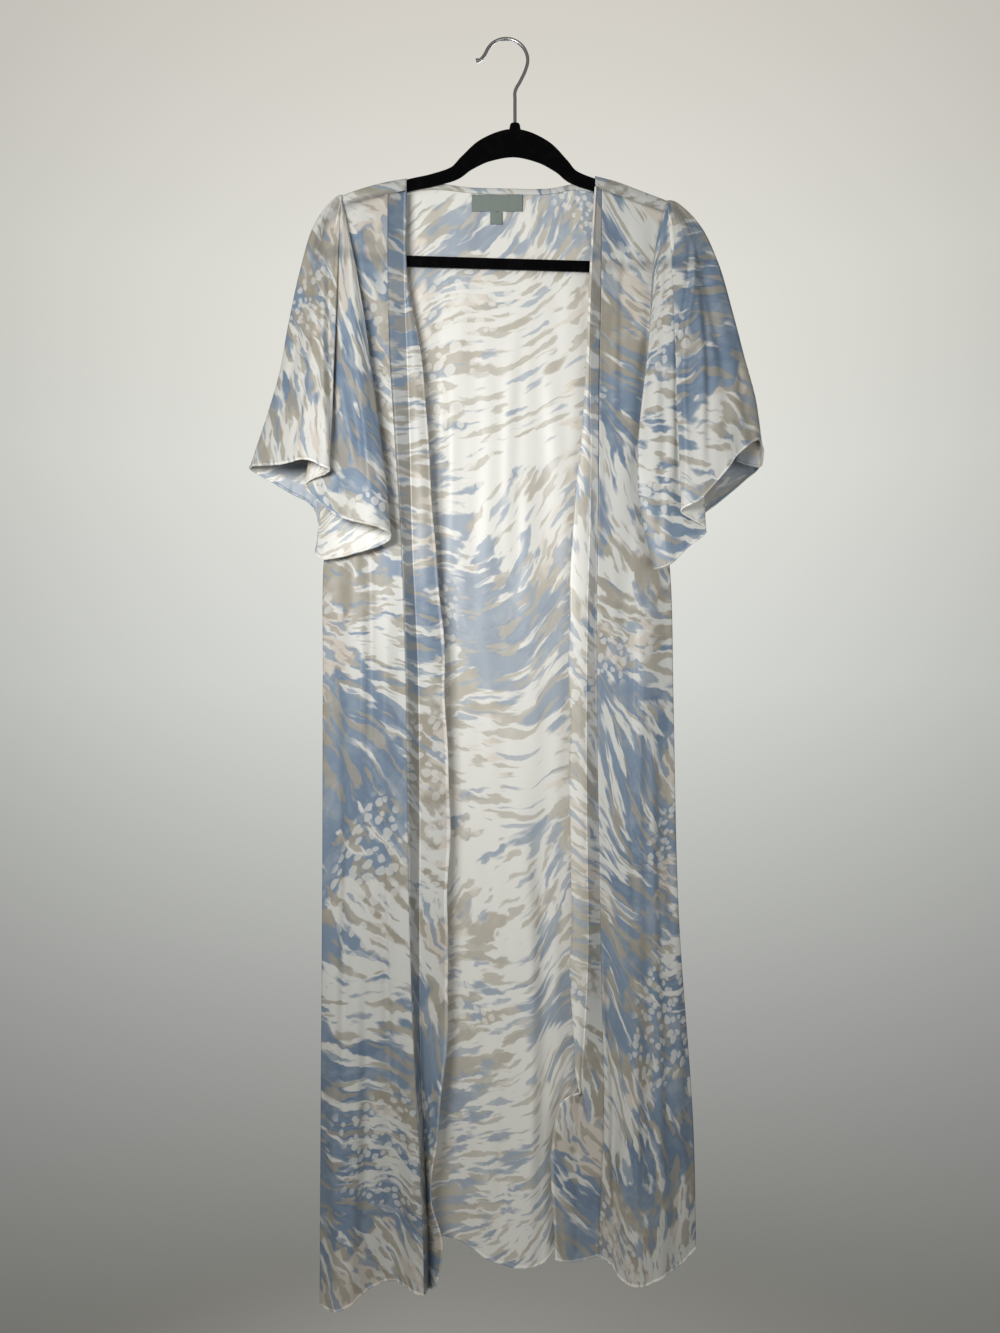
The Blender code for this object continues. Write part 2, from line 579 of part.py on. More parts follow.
def lathe(name, profile, steps, material):
    """A turned shape about the hanger's upright: radius and drop down its side."""
    points, faces = [], []
    rings = []
    for radius, drop in profile:
        ring = []
        for step in range(1 if radius == 0 else steps):
            turn = 2 * math.pi * step / steps
            ring.append(len(points))
            deep = radius * math.sin(turn) * COLLAR_FLATNESS
            points.append((HOOK_STEM_X + radius * math.cos(turn), deep, -drop))
        rings.append(ring)
    for upper, lower in zip(rings, rings[1:]):
        for step in range(steps):
            after = (step + 1) % steps
            if len(upper) == 1:
                faces.append((upper[0], lower[step], lower[after]))
            elif len(lower) == 1:
                faces.append((upper[step], lower[0], upper[after]))
            else:
                faces.append((upper[step], lower[step], lower[after], upper[after]))
    return new_object(name, points, faces, material)


def hanger_hook(material):
    """The wire hook: a stem, an open crown and a rounded tip."""
    middle = -(HOOK_RADIUS - WIRE / 2)
    path = [(HOOK_STEM_X, SEAM_GAP - COLLAR_TOP)]
    path += [(x, -drop) for x, drop in HOOK_NECK]
    for degrees in range(-24, 160, 23):
        turn = math.radians(degrees)
        path.append((HOOK_RADIUS * math.cos(turn), middle + HOOK_RADIUS * math.sin(turn)))
    path += [(x, -drop) for x, drop in HOOK_TIP]
    sizes = [1.0] * (len(path) - 1) + [HOOK_TIP_SIZE]
    curve = bpy.data.curves.new("hanger_hook", "CURVE")
    curve.dimensions = "3D"
    curve.bevel_depth = WIRE / 2 * MM
    curve.bevel_resolution = 1
    curve.resolution_u = 3
    curve.use_fill_caps = True
    line = curve.splines.new("BEZIER")
    line.bezier_points.add(len(path) - 1)
    for point, (x, z), size in zip(line.bezier_points, path, sizes):
        point.co = (x * MM, 0.0, z * MM)
        point.handle_left_type = "AUTO"
        point.handle_right_type = "AUTO"
        point.radius = size
    curve.materials.append(material)
    made = bpy.data.objects.new("hanger_hook", curve)
    bpy.context.scene.collection.objects.link(made)
    return made


def build():
    for old in list(bpy.data.objects):
        bpy.data.objects.remove(old, do_unlink=True)
    print_cloth = principled("printed satin", (0.62, 0.66, 0.72), 0.45)
    flock = principled("black flock", (0.01, 0.01, 0.012), 0.95)
    chrome = principled("plated wire", (0.78, 0.78, 0.78), 0.2, 1.0)
    woven = principled("woven label", (0.32, 0.36, 0.34), 0.7)
    hanger_body(flock)
    hanger_hook(chrome)
    grid, kept = back_grid()
    sheet("back", grid, print_cloth, kept=kept)
    sides = (
        ("right", OUTER_RIGHT, EDGE_RIGHT, SHOULDER_RIGHT, FOLDS_RIGHT, DEPTHS_RIGHT, HEM_RIGHT),
        ("left", OUTER_LEFT, EDGE_LEFT, SHOULDER_LEFT, FOLDS_LEFT, DEPTHS_LEFT, HEM_LEFT),
    )
    for side, outer, edge, shoulder, folds, depths, hem in sides:
        front = front_grid(outer, edge, shoulder, folds, depths, hem, FRONT_CELLS)
        sheet("front_" + side, front, print_cloth)
    bands = (
        ("right", EDGE_RIGHT, SHOULDER_RIGHT, BAND_HEM_RIGHT, 1),
        ("left", EDGE_LEFT, SHOULDER_LEFT, BAND_HEM_LEFT, -1),
    )
    for side, edge, shoulder, hem, inward in bands:
        sheet("band_" + side, band_grid(edge, shoulder, hem, inward, BAND_CELLS), print_cloth)
    sleeves = (("right", SLEEVE_RIGHT, OUTER_RIGHT, -1), ("left", SLEEVE_LEFT, OUTER_LEFT, 1))
    for side, table, outer, outward in sleeves:
        tube = sleeve_grid(table, outer, outward, SLEEVE_CELLS_A_FOLD, SLEEVE_DOWN_CELLS)
        sheet("sleeve_" + side, tube, print_cloth, closed=True)
    sheet("neck_band", neck_band_grid(NECK_BAND_CELLS), print_cloth, wall=TRIM_WALL)
    out = SEAM_STEP + TRIM_WALL / 2
    sheet("neck_label", on_back(*LABEL, LABEL_CELLS, out), woven, wall=TRIM_WALL)
    sheet("size_tab", on_back(*SIZE_TAB, SIZE_TAB_CELLS, out), woven, wall=TRIM_WALL)


build()
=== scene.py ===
"""Looks of the duster coat on its flocked hanger: fine cloth, print, hems, seams and light.

Metres, +Z up, the coat's front faces -Y. The origin is the underside of the hook's crown.
Tables are in millimetres unless they say metres. They are the solids' own, but for some rows
of the hanger, the right band and the left sleeve that follow the photo more closely. "drop" is
the distance below the origin, "depth" is Y. Right and left are the wearer's: right is at -X.
"""

import math

import bpy
import numpy as np
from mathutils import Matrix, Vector


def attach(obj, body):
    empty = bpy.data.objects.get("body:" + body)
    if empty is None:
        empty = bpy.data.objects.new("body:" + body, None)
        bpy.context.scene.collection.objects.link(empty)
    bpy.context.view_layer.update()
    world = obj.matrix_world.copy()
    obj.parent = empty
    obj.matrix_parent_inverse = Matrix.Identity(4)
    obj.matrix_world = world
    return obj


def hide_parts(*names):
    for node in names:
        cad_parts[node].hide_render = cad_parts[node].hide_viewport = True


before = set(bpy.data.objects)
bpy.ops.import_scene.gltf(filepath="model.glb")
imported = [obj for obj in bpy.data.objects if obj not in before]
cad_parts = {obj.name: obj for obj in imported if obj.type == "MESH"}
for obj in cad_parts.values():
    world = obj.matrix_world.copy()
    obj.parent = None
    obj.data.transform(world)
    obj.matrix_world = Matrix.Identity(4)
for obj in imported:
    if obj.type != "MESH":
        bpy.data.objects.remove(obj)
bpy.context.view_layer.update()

MM = 0.001

# Camera: the photo's frame is 1000 x 1333, and one pixel is 1.08 mm in the hanger's plane
CAMERA_PLACE = (-0.00648, -1.09, -0.67608)
CAMERA_LENS = 18.0 * 1.09 / 0.7198
CAMERA_SENSOR = 36.0

# Cloth
WALL = 1.2  # of the solids
SEAM_GAP = 0.3
SEWN_GAP = 0.1  # between cut pieces, where the seam closes them
CLOTH = 0.5  # thickness of the cloth that shows
SEAM_EXTRA = 0.5  # more of it at a front's shoulder seam
SEAM_REACH = 6.0  # and how far down
WRAP_EXTRA = 0.4  # more of it at the back's edge of that seam
LABEL_THICK = 0.6
LABEL_EDGE = 0.35  # more of it at a label's turned edge
ROLL = 1.8  # thickness of a rolled hem
ROLL_WIDE = 3.0
EDGE_ROLL = 1.3  # thickness of a band's finished edge
EDGE_WIDE = 2.4

# Grid sizes: the number of cells across and down a piece
FRONT_CELLS = (64, 290)
BAND_CELLS = (18, 290)
BACK_SHOULDER_CELLS = 28
BACK_NECK_CELLS = 104
BACK_DOWN_CELLS = 250
WRAP_ROWS = 18
SLEEVE_CELLS_A_FOLD = 15
SLEEVE_DOWN_CELLS = 100
NECK_BAND_CELLS = (160, 10)
HEM_ROWS = (4.8, 3.9, 3.2, 2.8, 2.3, 1.7, 1.1, 0.6, 0.25, 0.0)  # distances from a hem, mm
PANEL_LENGTH = 1150.0
SLEEVE_LENGTH = 330.0
FAR = 999.0  # mm, farther than anything on a piece

# Hanger
HANGER_X = 9.2
HANGER_TILT = math.radians(1.7)
HANGER_THICK = 5.32
HANGER_SQUARE = 0.55  # 1 for an oval bar, nearer 0 for a square one
HANGER_AROUND = 28  # points round the bar
HANGER_STEPS = 14  # for each row of its table
HANGER_PIVOT = 112.0  # drop of the point that it leans about
COLLAR_TOP = 89.5
COLLAR = (  # radius, drop
    *((0, COLLAR_TOP), (3.6, COLLAR_TOP), (4.6, 89.9), (5.2, 91), (5.6, 92.6)),
    *((6, 95), (6.6, 98), (7, 101), (7, 104), (0, 104)),
)
COLLAR_FLATNESS = 0.62
COLLAR_SIDES = 40
WIRE = 3.6
HOOK_RADIUS = 23.4
HOOK_STEM_X = 9.7
HOOK_TURN = (-24, 160, 23)  # degrees round the crown: from, to, step
HOOK_NECK = ((9.7, 64), (9.9, 55), (15.5, 44))  # x, drop, from the stem to the crown
HOOK_TIP = ((-25, 18.2), (-28.2, 21.2), (-32, 22.2))  # x, drop, from the crown to the tip
HOOK_TIP_SIZE = 1.5  # times the wire
HOOK_FINE = (6, 14)  # steps round the wire and along it

# Hanger centre line on one side of its middle: x, drop, height of the bar there
HANGER = (
    (0, 110.9, 30.2),
    (29, 118.6, 25.8),
    (50, 133, 18),
    (64, 145.3, 14.5),
    (87.5, 153.6, 13),
    (116.5, 161, 12.4),
    (161, 177.5, 12.4),
    (185.5, 191.5, 12.2),
    (197.5, 204, 12),
    (205.5, 219.5, 11.8),
    (207.5, 231.5, 11.6),
    (201, 240.5, 11.5),
    (187, 241.7, 11.5),
    (100, 241.7, 11.5),
    (0, 241.7, 11.5),
)

# Top line of the cloth over the hanger's arms: x, drop. Forward shoulder seam: its two ends.
RIDGE_RIGHT = ((-178, 168), (-170, 165), (-152, 159), (-129, 153), (-107, 149))
RIDGE_LEFT = ((96, 146.5), (119, 152.5), (144, 162), (169, 171.5), (175, 174))
SHOULDER_RIGHT = ((-178, 181), (-107, 164))
SHOULDER_LEFT = ((96, 161.5), (175, 188.5))
BACK_ENDS = SHOULDER_RIGHT[0][0], SHOULDER_LEFT[-1][0]

# Armhole, then side seam: drop, x, depth of the front's edge, depth of the back's edge
OUTER_RIGHT = (
    (168, -178, -5, 4.9),
    (211, -170, -5.6, 5.1),
    (246, -163.5, -6.2, 5.3),
    (280, -158, -6.6, 5.4),
    (315, -156, -6.6, 5.4),
    (360, -164, -5.6, 5),
    (392, -179, -3.2, 3.2),
    (412, -189, -0.9, 0.9),
    (450, -191.5, -0.9, 0.9),
    (520, -193.5, -0.9, 0.9),
    (570, -197, -0.9, 0.9),
    (677, -197.5, -0.9, 0.9),
    (907, -197.5, -4.9, -3.1),
    (1141, -198, -10.9, -9.1),
    (1360, -198, -18.9, -17.1),
)
OUTER_LEFT = (
    (174, 175, -5, 4.9),
    (211, 164.5, -5.5, 5.1),
    (240, 159.5, -6.1, 5.3),
    (275, 156.5, -6.5, 5.4),
    (310, 155, -6.6, 5.4),
    (350, 157.5, -6, 5.2),
    (386, 164.5, -3.6, 3.6),
    (412, 171, -0.9, 0.9),
    (450, 172.5, -0.9, 0.9),
    (530, 174, -0.9, 0.9),
    (590, 178, -0.9, 0.9),
    (706, 180.5, -0.9, 0.9),
    (937, 186, -0.9, 0.9),
    (1189, 203, 1.1, 2.9),
    (1330, 206, 3.1, 4.9),
)

# Front edge: drop, then x and depth of the band's seam, of its crease and of its free edge
EDGE_RIGHT = (
    (160, -127, -6, -108.6, -6.5, -107, -6.4),
    (262, -127, -7.5, -108.4, -8, -105.6, -7.6),
    (343, -124.5, -9.5, -105.5, -8.8, -91, -8.5),
    (425, -119, -12, -103, -9, -83.5, -9),
    (540, -112, -14, -100.5, -8.5, -76, -9),
    (674, -107, -16, -94.5, -7.5, -66, -8.5),
    (808, -105, -18, -92.8, -7, -61, -8),
    (966, -102, -20, -93, -6, -62, -9),
    (1097, -97, -24, -92, -5, -65, -10),
    (1169, -92.5, -27, -89, -4, -71.5, -13),
    (1248, -88.5, -29, -85.5, -3, -77.5, -15),
    (1290, -87, -29.5, -84, -2.5, -67.5, -17),
    (1318, -86.5, -30, -83.5, -2.2, -70, -17),
    (1340, -86.5, -30, -83, -2, -75, -16),
)
EDGE_LEFT = (
    (160, 103, -6, 97.2, -6.5, 95.5, -6.4),
    (248, 102.5, -6.7, 93, -8, 90, -7.6),
    (369, 100, -9.8, 90, -9, 85, -8.8),
    (445, 99.3, -11.8, 91, -8.6, 79, -8.5),
    (500, 98.7, -13, 90.5, -8.3, 72.5, -8.5),
    (605, 97, -15, 87.6, -7.6, 69, -8.5),
    (744, 97, -17, 86, -7, 67.5, -8),
    (880, 99, -18.6, 87, -7, 69.5, -8),
    (975, 100.5, -19.6, 88, -7, 68, -8),
    (1087, 103, -20, 82.5, -7, 64, -8),
    (1133, 103.8, -19, 79.5, -7, 56, -8),
    (1175, 103.5, -18, 77.5, -7, 49, -8),
    (1240, 100.5, -16, 76, -7.6, 48, -8),
    (1316, 98, -14, 76, -8, 53, -9),
)

# Hem heights of a band at its seam, crease and free edge (drops)
BAND_HEM_RIGHT = (1338, 1345, 1338)
BAND_HEM_LEFT = (1305, 1314, 1312)

# Fronts: where the folds stand across the width, and their depth at shares of the way down.
# Across is 0 at the armhole and side seam and 1 at the band. Hems are drops at the folds.
FOLDS_RIGHT = (0, 0.2, 0.33, 0.46, 0.6, 0.72, 0.88, 1)
DEPTHS_RIGHT = (
    (0, -5.2, -5.2, -5.2, -5.2, -5.2, -5.3, -5.6, -6),
    (0.06, -5.7, -5.7, -5.7, -5.7, -5.8, -6, -6.6, -7.2),
    (0.13, -6.5, -7, -7, -7.2, -7.4, -7.8, -8.8, -9.6),
    (0.19, -2.5, -6.2, -8, -9, -10, -10.5, -11.4, -12),
    (0.33, -0.9, -6.6, -9.2, -11, -12, -12.6, -13.5, -14),
    (0.45, -0.9, -8.5, -12, -14, -15, -15.5, -16, -16),
    (0.65, -5, -14, -16.5, -16.5, -16.5, -17, -18.5, -19.5),
    (0.8, -10, -24, -25, -19, -15.5, -15.5, -20, -24),
    (1, -18.6, -40, -37, -20, -11, -11, -23, -30),
)
HEM_RIGHT = (1355, 1348, 1342, 1337, 1334, 1334, 1337, 1338)

FOLDS_LEFT = (0, 0.18, 0.44, 0.65, 0.79, 0.88, 1)
DEPTHS_LEFT = (
    (0, -5.2, -5.2, -5.2, -5.2, -5.3, -5.5, -6),
    (0.06, -5.7, -5.7, -5.7, -5.8, -6, -6.3, -6.6),
    (0.13, -6.5, -7, -7.2, -7.6, -8, -8.4, -8.8),
    (0.19, -2.5, -6.2, -8.6, -10, -11, -11.4, -12),
    (0.33, -0.9, -6.6, -10.5, -12.6, -13.4, -14, -14.2),
    (0.45, -0.9, -8, -13, -15, -15.6, -16, -16),
    (0.65, -0.9, -8.5, -16, -19, -19.4, -19.2, -19),
    (0.8, -0.3, -8.5, -20, -25, -23.5, -21, -20),
    (1, 3.1, -10, -28, -34, -29, -20, -14),
)
HEM_LEFT = (1306, 1317, 1323, 1326, 1321, 1311, 1305)

# Back: where its folds stand across the width, and their depth at shares of the way down
FOLDS_BACK = (0, 0.07, 0.2, 0.3, 0.36, 0.46, 0.53, 0.6, 0.64, 0.76, 0.93, 1)
DEPTHS_BACK = (
    (0, 4.9, 4.9, 4.9, 4.9, 4.9, 4.9, 4.9, 4.9, 4.9, 4.9, 4.9, 4.9),
    (0.1, 5.4, 5.4, 5.2, 5.2, 5.2, 5.2, 5.2, 5.2, 5.2, 5.2, 5.4, 5.4),
    (0.2, 2.6, 4.6, 5.8, 6, 6, 6, 6, 6, 6, 5.8, 4.6, 2.6),
    (0.34, 0.9, 4.4, 7, 8, 8, 7, 6.5, 7, 8, 7, 4.4, 0.9),
    (0.7, -2.9, 2, 8, 10, 9, 6, 4.5, 6.5, 9.5, 8, 5, 0.9),
    (1, -16.6, -9, 6, 11, 9.5, 2, -1, 3.5, 11, 10, 8, 5.2),
)
HEM_BACK = (1355, 1338, 1302, 1296, 1301, 1321, 1326, 1319, 1300, 1293, 1301, 1306)

# Back neckline: x, drop. Neck trim sits just inside it.
NECKLINE = (
    (-107, 157),
    (-73, 153.5),
    (-40, 157),
    (-1, 158.2),
    (56, 157),
    (70, 154),
    (96, 157),
)
NECK_BAND_DEEP = 6.0
NECK_BAND_END = 1.0  # from the ends of the shoulders
NECK_BAND_OUT = 1.1  # from the back's middle surface
NECK_BAND_ROUND = (0.7, 0.6)  # how far its face is rounded, and the power of that arc
NECK_BAND_RIPPLE = (0.15, 3.1)  # height, and length for each radian
NECK_BAND_DRIFT = (0.8, 11.0)  # how unevenly the ripples follow each other
BELOW_RIDGE = 12.0  # from the ridge over the hanger's arm to the back's first full row
# Labels: from x, to x, from drop, to drop, then their cells across and down
NECK_LABEL = ((-37, 18, 165, 183), (60, 24))
SIZE_TAB = ((-17, -4, 183.6, 197), (20, 20))
LABEL_OUT = 1.2
LABEL_BOW = (0.6, 0.5)  # how far a label bows, and the power of that arc
LABEL_RIPPLE = (0.1, 23.0)  # height, and radians across
LABEL_SIDES = 0.04  # share of the neck label's width that each turned end takes
TAB_END = 0.92  # share of the size tab's length where its fold starts

# Sleeve, one row for each fold of its hem, from the underarm seam round the front to the back:
# share of the way round the armhole where the fold starts, then hem x, depth, drop,
# and how far the fold sways sideways on its way down, if it does
SLEEVE_RIGHT = (
    (0.00, -204, -4, 557),
    (0.07, -188, -14, 562),
    (0.15, -157, -22, 556),
    (0.22, -130, -28, 548),
    (0.27, -120, -38, 540),
    (0.31, -132, -50, 533),
    (0.355, -159, -47, 526),
    (0.39, -182, -37, 516),
    (0.415, -211, -28, 486),
    (0.435, -184, -44, 475),
    (0.45, -190, -52, 470),
    (0.47, -208, -51, 463),
    (0.49, -236, -35, 465),
    (0.53, -276.5, -2, 462),
    (0.60, -256, 8.5, 475),
    (0.68, -234, 10.5, 488),
    (0.78, -213, 10.5, 500),
    (0.90, -203, 6, 523),
)
SLEEVE_LEFT = (
    (0.00, 184, -4, 553),
    (0.12, 170, -15, 565, -5),
    (0.27, 156, -27, 574, -17),
    (0.34, 171, -36, 570, -14),
    (0.38, 191, -33, 551, -6),
    (0.41, 210, -31, 533),
    (0.43, 181.5, -45, 516),
    (0.45, 200, -53, 504),
    (0.47, 228, -50, 473),
    (0.485, 242, -43, 455),
    (0.50, 266, -31, 439),
    (0.512, 270, -20, 464),
    (0.522, 245, -13, 457, 17),
    (0.532, 273, -3, 460),
    (0.60, 260, 8.5, 474),
    (0.70, 234, 10.5, 496),
    (0.80, 217, 10.5, 509),
    (0.92, 194, 7, 530),
)
# How a fold falls: share of its length, share of the way down, share of the way out at the
# end of the right and of the left shoulder, share of the way out elsewhere, share of its stand-off
FALL = (
    (0.00, 0.000, 0.00, 0.00, 0.00, 0.00),
    (0.05, 0.004, 0.08, 0.10, 0.02, 0.55),
    (0.10, 0.034, 0.18, 0.21, 0.07, 0.85),
    (0.19, 0.10, 0.31, 0.37, 0.16, 1.00),
    (0.35, 0.25, 0.45, 0.56, 0.34, 1.00),
    (0.55, 0.47, 0.59, 0.72, 0.56, 0.80),
    (0.71, 0.65, 0.685, 0.84, 0.73, 0.55),
    (0.85, 0.81, 0.815, 0.95, 0.87, 0.25),
    (1.00, 1.000, 1.00, 1.00, 1.00, 0.00),
)
SLEEVE_SPREAD = 1.25  # above 1, a sleeve's rows lie closer together at its head
SLEEVE_SWAY = 1.8  # above 1, a fold sways most low down
STAND_OFF_FRONT = -6.0
STAND_OFF_BACK = 4.0
SHOULDER_SHARE = 0.53  # of the way round the armhole, where the shoulder ends
SHOULDER_REACH = 0.11
UNDERARM = 412.0
ARMHOLE_SHARE = 0.2  # share of a panel's length beside the armhole
EDGE_REACH = 0.2  # share of a panel's width over which it is drawn in to its outer edge
LAP = 1.0  # how far a sleeve laps over the armhole's edge
LAP_STEP = 1.1  # and how far out it lies there
UNDERARM_STEP = 1.6  # how far outside the side seam its lowest point starts
UNDERARM_REACH = 0.1  # share of the armhole on each side over which the lap fades to that
OVER_ARM = 4.9  # half the width of the cloth's bend over the hanger's arm

# Creases, each a soft line seen from the front: from x, drop, to x, drop, half its width,
# and its height, which is below 0 for a ridge towards the viewer
CREASES_RIGHT = (
    (-172, 196, -150, 420, 9, 1.6),
    (-160, 190, -138, 520, 7, -1.4),
    (-140, 186, -131, 330, 6, 1.1),
    (-168, 470, -166, 900, 10, -1.8),
    (-150, 430, -146, 760, 8, 1.7),
    (-132, 520, -126, 980, 7, -1.5),
    (-184, 640, -182, 1120, 8, 1.6),
    (-118, 640, -112, 1010, 5.5, 1.3),
    (-160, 860, -166, 1290, 9, 2.2),
    (-140, 900, -140, 1330, 8, -2.4),
    (-122, 980, -118, 1320, 7, 2),
    (-104, 1020, -101, 1330, 5, -1.6),
    (-187, 1100, -178, 1350, 7, -1.8),
)
CREASES_LEFT = (
    (168, 204, 140, 400, 9, 1.5),
    (150, 200, 128, 470, 7, -1.4),
    (124, 192, 114, 340, 6, 1.2),
    (150, 460, 148, 880, 9, -1.6),
    (132, 420, 130, 720, 7, 1.5),
    (116, 520, 114, 900, 6, -1.3),
    (166, 640, 172, 1050, 8, 1.8),
    (142, 820, 150, 1240, 9, 2),
    (124, 940, 128, 1310, 7, -2),
    (113, 1000, 116, 1300, 5, 2.6),
    (182, 930, 192, 1290, 8, -1.9),
)
CREASES_BACK = (
    (-70, 250, -84, 620, 12, 1.2),
    (40, 246, 58, 560, 11, -1.1),
    (-20, 300, -26, 800, 14, -1.2),
    (-52, 640, -48, 1130, 10, 1.8),
    (8, 560, 14, 1080, 12, -1.6),
    (46, 700, 40, 1180, 9, 1.7),
    (-30, 930, -34, 1310, 9, -2),
    (-8, 1010, -4, 1320, 8, 1.7),
    (24, 1040, 22, 1310, 7, -1.8),
    (-140, 320, -150, 980, 14, -1.6),
    (-110, 500, -116, 1240, 12, 1.8),
    (128, 330, 136, 1010, 13, 1.7),
    (100, 520, 108, 1250, 12, -1.7),
    (150, 800, 160, 1290, 11, -1.8),
)
# Laps, where the cloth folds over itself a little: the same columns, and the side at lower x
# is nearer the viewer where the height is above 0
LAPS_RIGHT = (
    (-168, 190, -146, 420, 5, 1.2),
    (-150, 560, -146, 900, 6, 1.4),
    (-176, 700, -174, 1180, 6, -1.6),
    (-128, 820, -122, 1230, 5, -1.6),
    (-152, 1020, -158, 1340, 6, 2.2),
)
LAPS_LEFT = (
    (103.5, 985, 111, 1185, 4.5, 2.4),
    (111, 1165, 112.5, 1322, 4.5, 3),
    (128, 200, 116, 420, 5, 1.2),
    (140, 600, 138, 980, 6, -1.5),
    (160, 760, 168, 1230, 6, 1.6),
    (132, 1040, 136, 1318, 5, -2),
)
LAPS_BACK = (
    (-124, 215, -140, 640, 9, 1.7),
    (-64, 262, -74, 760, 10, -1.5),
    (14, 262, 6, 580, 9, 1.3),
    (88, 225, 112, 700, 9, -1.7),
    (-152, 700, -162, 1285, 9, -2.2),
    (-96, 760, -104, 1320, 8, 2.2),
    (-20, 690, -15, 1190, 10, -1.6),
    (30, 860, 36, 1310, 8, 1.5),
    (66, 780, 70, 1300, 8, -1.8),
    (136, 720, 150, 1290, 9, 2.2),
)
LAPS_SLEEVE_RIGHT = (
    (-193.5, 236, -181, 474, 4.5, 3.2),
    (-203, 318, -218, 450, 5, -2),
    (-175, 205, -173, 345, 6, 1.5),
    (-173, 350, -157, 462, 6, 1.8),
    (-226, 300, -246, 440, 7, 1.4),
    (-168, 250, -147, 480, 5, -1.6),
    (-150, 360, -133, 515, 5, 1.3),
)
LAPS_SLEEVE_LEFT = (
    (200, 222, 185, 340, 4, -2.6),
    (185, 322, 182, 490, 4, -2.6),
    (206, 262, 208, 470, 5, 2.2),
    (218, 250, 236, 430, 7, -1.5),
    (165, 230, 160, 420, 6, 1.6),
    (170, 400, 164, 560, 6, -1.6),
    (240, 330, 252, 440, 6, 1.3),
)
CREASE_SWAY = (0.35, 7.0)  # how a line wanders: how far, in half widths, and over how many radians
LAP_SWAY = (0.3, 6.0)
CREASE_ENDS = (0.04, 0.7)  # how a line ends: share of half a wave left off, and the wave's power
LAP_ENDS = (0.03, 0.6)
CREASE_LEAN = 0.5  # makes one flank of a crease steeper
LAP_PEAK = 2.33  # brings a lap's greatest height to that of its row
# Ripples all over a panel: wave length across, wave length down, phase, height
RIPPLES = (
    (37, 430, 0.9, 0.45),
    (59, 640, 2.3, 0.6),
    (23, 270, 4.1, 0.22),
)
RIPPLE_BEND = (1.2, 1.7)  # how they bend on their way down: radians, and times the phase
FADE_OUTER, FADE_INNER, FADE_TOP = 0.09, 0.07, 0.035  # shares over which creases end at seams
# Sleeve creases: the fold they follow, half width in folds, from and to a share of the length,
# and height outwards
CREASES_SLEEVE_RIGHT = (
    (1.5, 0.5, 0.05, 0.80, -1.6),
    (2.6, 0.5, 0.10, 0.92, 1.4),
    (4.6, 0.5, 0.04, 0.85, -1.8),
    (6.4, 0.5, 0.02, 0.80, 1.8),
    (7.5, 0.4, 0.02, 0.70, -1.9),
    (8.7, 0.5, 0.02, 0.75, 1.6),
    (10.4, 0.5, 0.02, 0.80, -1.6),
    (11.6, 0.4, 0.02, 0.70, 1.5),
    (12.5, 0.5, 0.05, 0.85, -1.5),
    (14.5, 0.5, 0.10, 0.85, 1.2),
    (16, 0.6, 0.10, 0.85, -1.2),
)
CREASES_SLEEVE_LEFT = (
    (0.8, 0.5, 0.05, 0.80, -1.5),
    (1.8, 0.5, 0.08, 0.90, 1.5),
    (2.7, 0.4, 0.03, 0.80, -1.8),
    (4.4, 0.5, 0.02, 0.80, 1.8),
    (5.5, 0.4, 0.02, 0.72, -1.8),
    (7.4, 0.5, 0.02, 0.75, 1.6),
    (8.8, 0.6, 0.02, 0.80, -1.7),
    (10, 0.5, 0.03, 0.75, 1.3),
    (14.5, 0.6, 0.08, 0.85, -1.2),
    (16, 0.6, 0.08, 0.85, 1.2),
)
# Folds between which a sleeve's outer layer lies, which takes its laps
OUTER_LAYER_RIGHT = (4.4, 13.2)
OUTER_LAYER_LEFT = (2.4, 11.0)
GATHERS = 46  # small gathers round a sleeve's head
GATHER_HIGH = 0.35
GATHER_AT, GATHER_REACH = 0.55, 0.22  # shares of the way round where they stand
GATHER_START, GATHER_LONG = 0.03, 0.12  # shares of the length over which they rise and fade
GATHER_DRIFT = (1.4, 2.3)  # how unevenly they follow each other: radians, and radians a fold
SLEEVE_TAPER = 0.8  # power with which a sleeve's creases end
PUCKER = (17.0, 0.45)  # wave length along a hem, and height
PUCKER_SECOND = (0.5, 1.3)  # waves of half that length: share of the height, and phase
PUCKER_REACH = (9.0, 1.3)  # how far up from the hem, and the power with which they fade

# Bands: shares across are 0 at the seam, 1 at the crease and 2 at the free edge
CREASE_SHARE = 0.999  # the turned-out half starts here
PRESSED = (0.97, 0.05)  # the crease's pressed edge: its share and half its width
BAND_EDGE = 1.93  # the finished edge starts here
BAND_BULGE = 2.6  # how far the turned-out half is rounded
BAND_LOOSE = (300.0, 300.0)  # drop where that half starts to wave, and the length it takes
WAVE_LONG = (1.3, 41.0)  # its waves: height, and length for each radian
WAVE_SHORT = (0.8, 17.0)
WAVE_DRIFT = (1.3, 130.0)  # how unevenly the long ones follow each other
WAVE_ASIDE, WAVE_OUT = 0.8, 0.9  # shares of them sideways and in depth
# Where the left band's turned-out half ends in a point and lies flat again: its drop, how far
# the free edge swings towards the crease there, over what length above and below, and how
# much nearer it comes
TWIST_DROP = 1132.0
TWIST_SWING = 23.0
TWIST_ABOVE = 50.0
TWIST_BELOW = 6.5
TWIST_NEARER = 5.0
TWIST_SHADE = 1.4  # the strip's shade as a share of SHOWS
TWIST_FADE = 130.0  # and over what length above the point it fades out

# Where each piece lies on the printed cloth: across and down in metres, and which way it runs
ON_CLOTH = {
    "back": (1.11, 0.52, -1),
    "front_right": (1.27, 0.43, 1),
    "front_left": (2.09, 0.77, -1),
    "band_right": (3.40, 0.20, 1),
    "band_left": (4.10, 0.66, -1),
    "sleeve_right": (5.20, 0.10, -1),
    "sleeve_left": (6.45, 0.38, 1),
    "neck_band": (7.30, 0.52, 1),
}

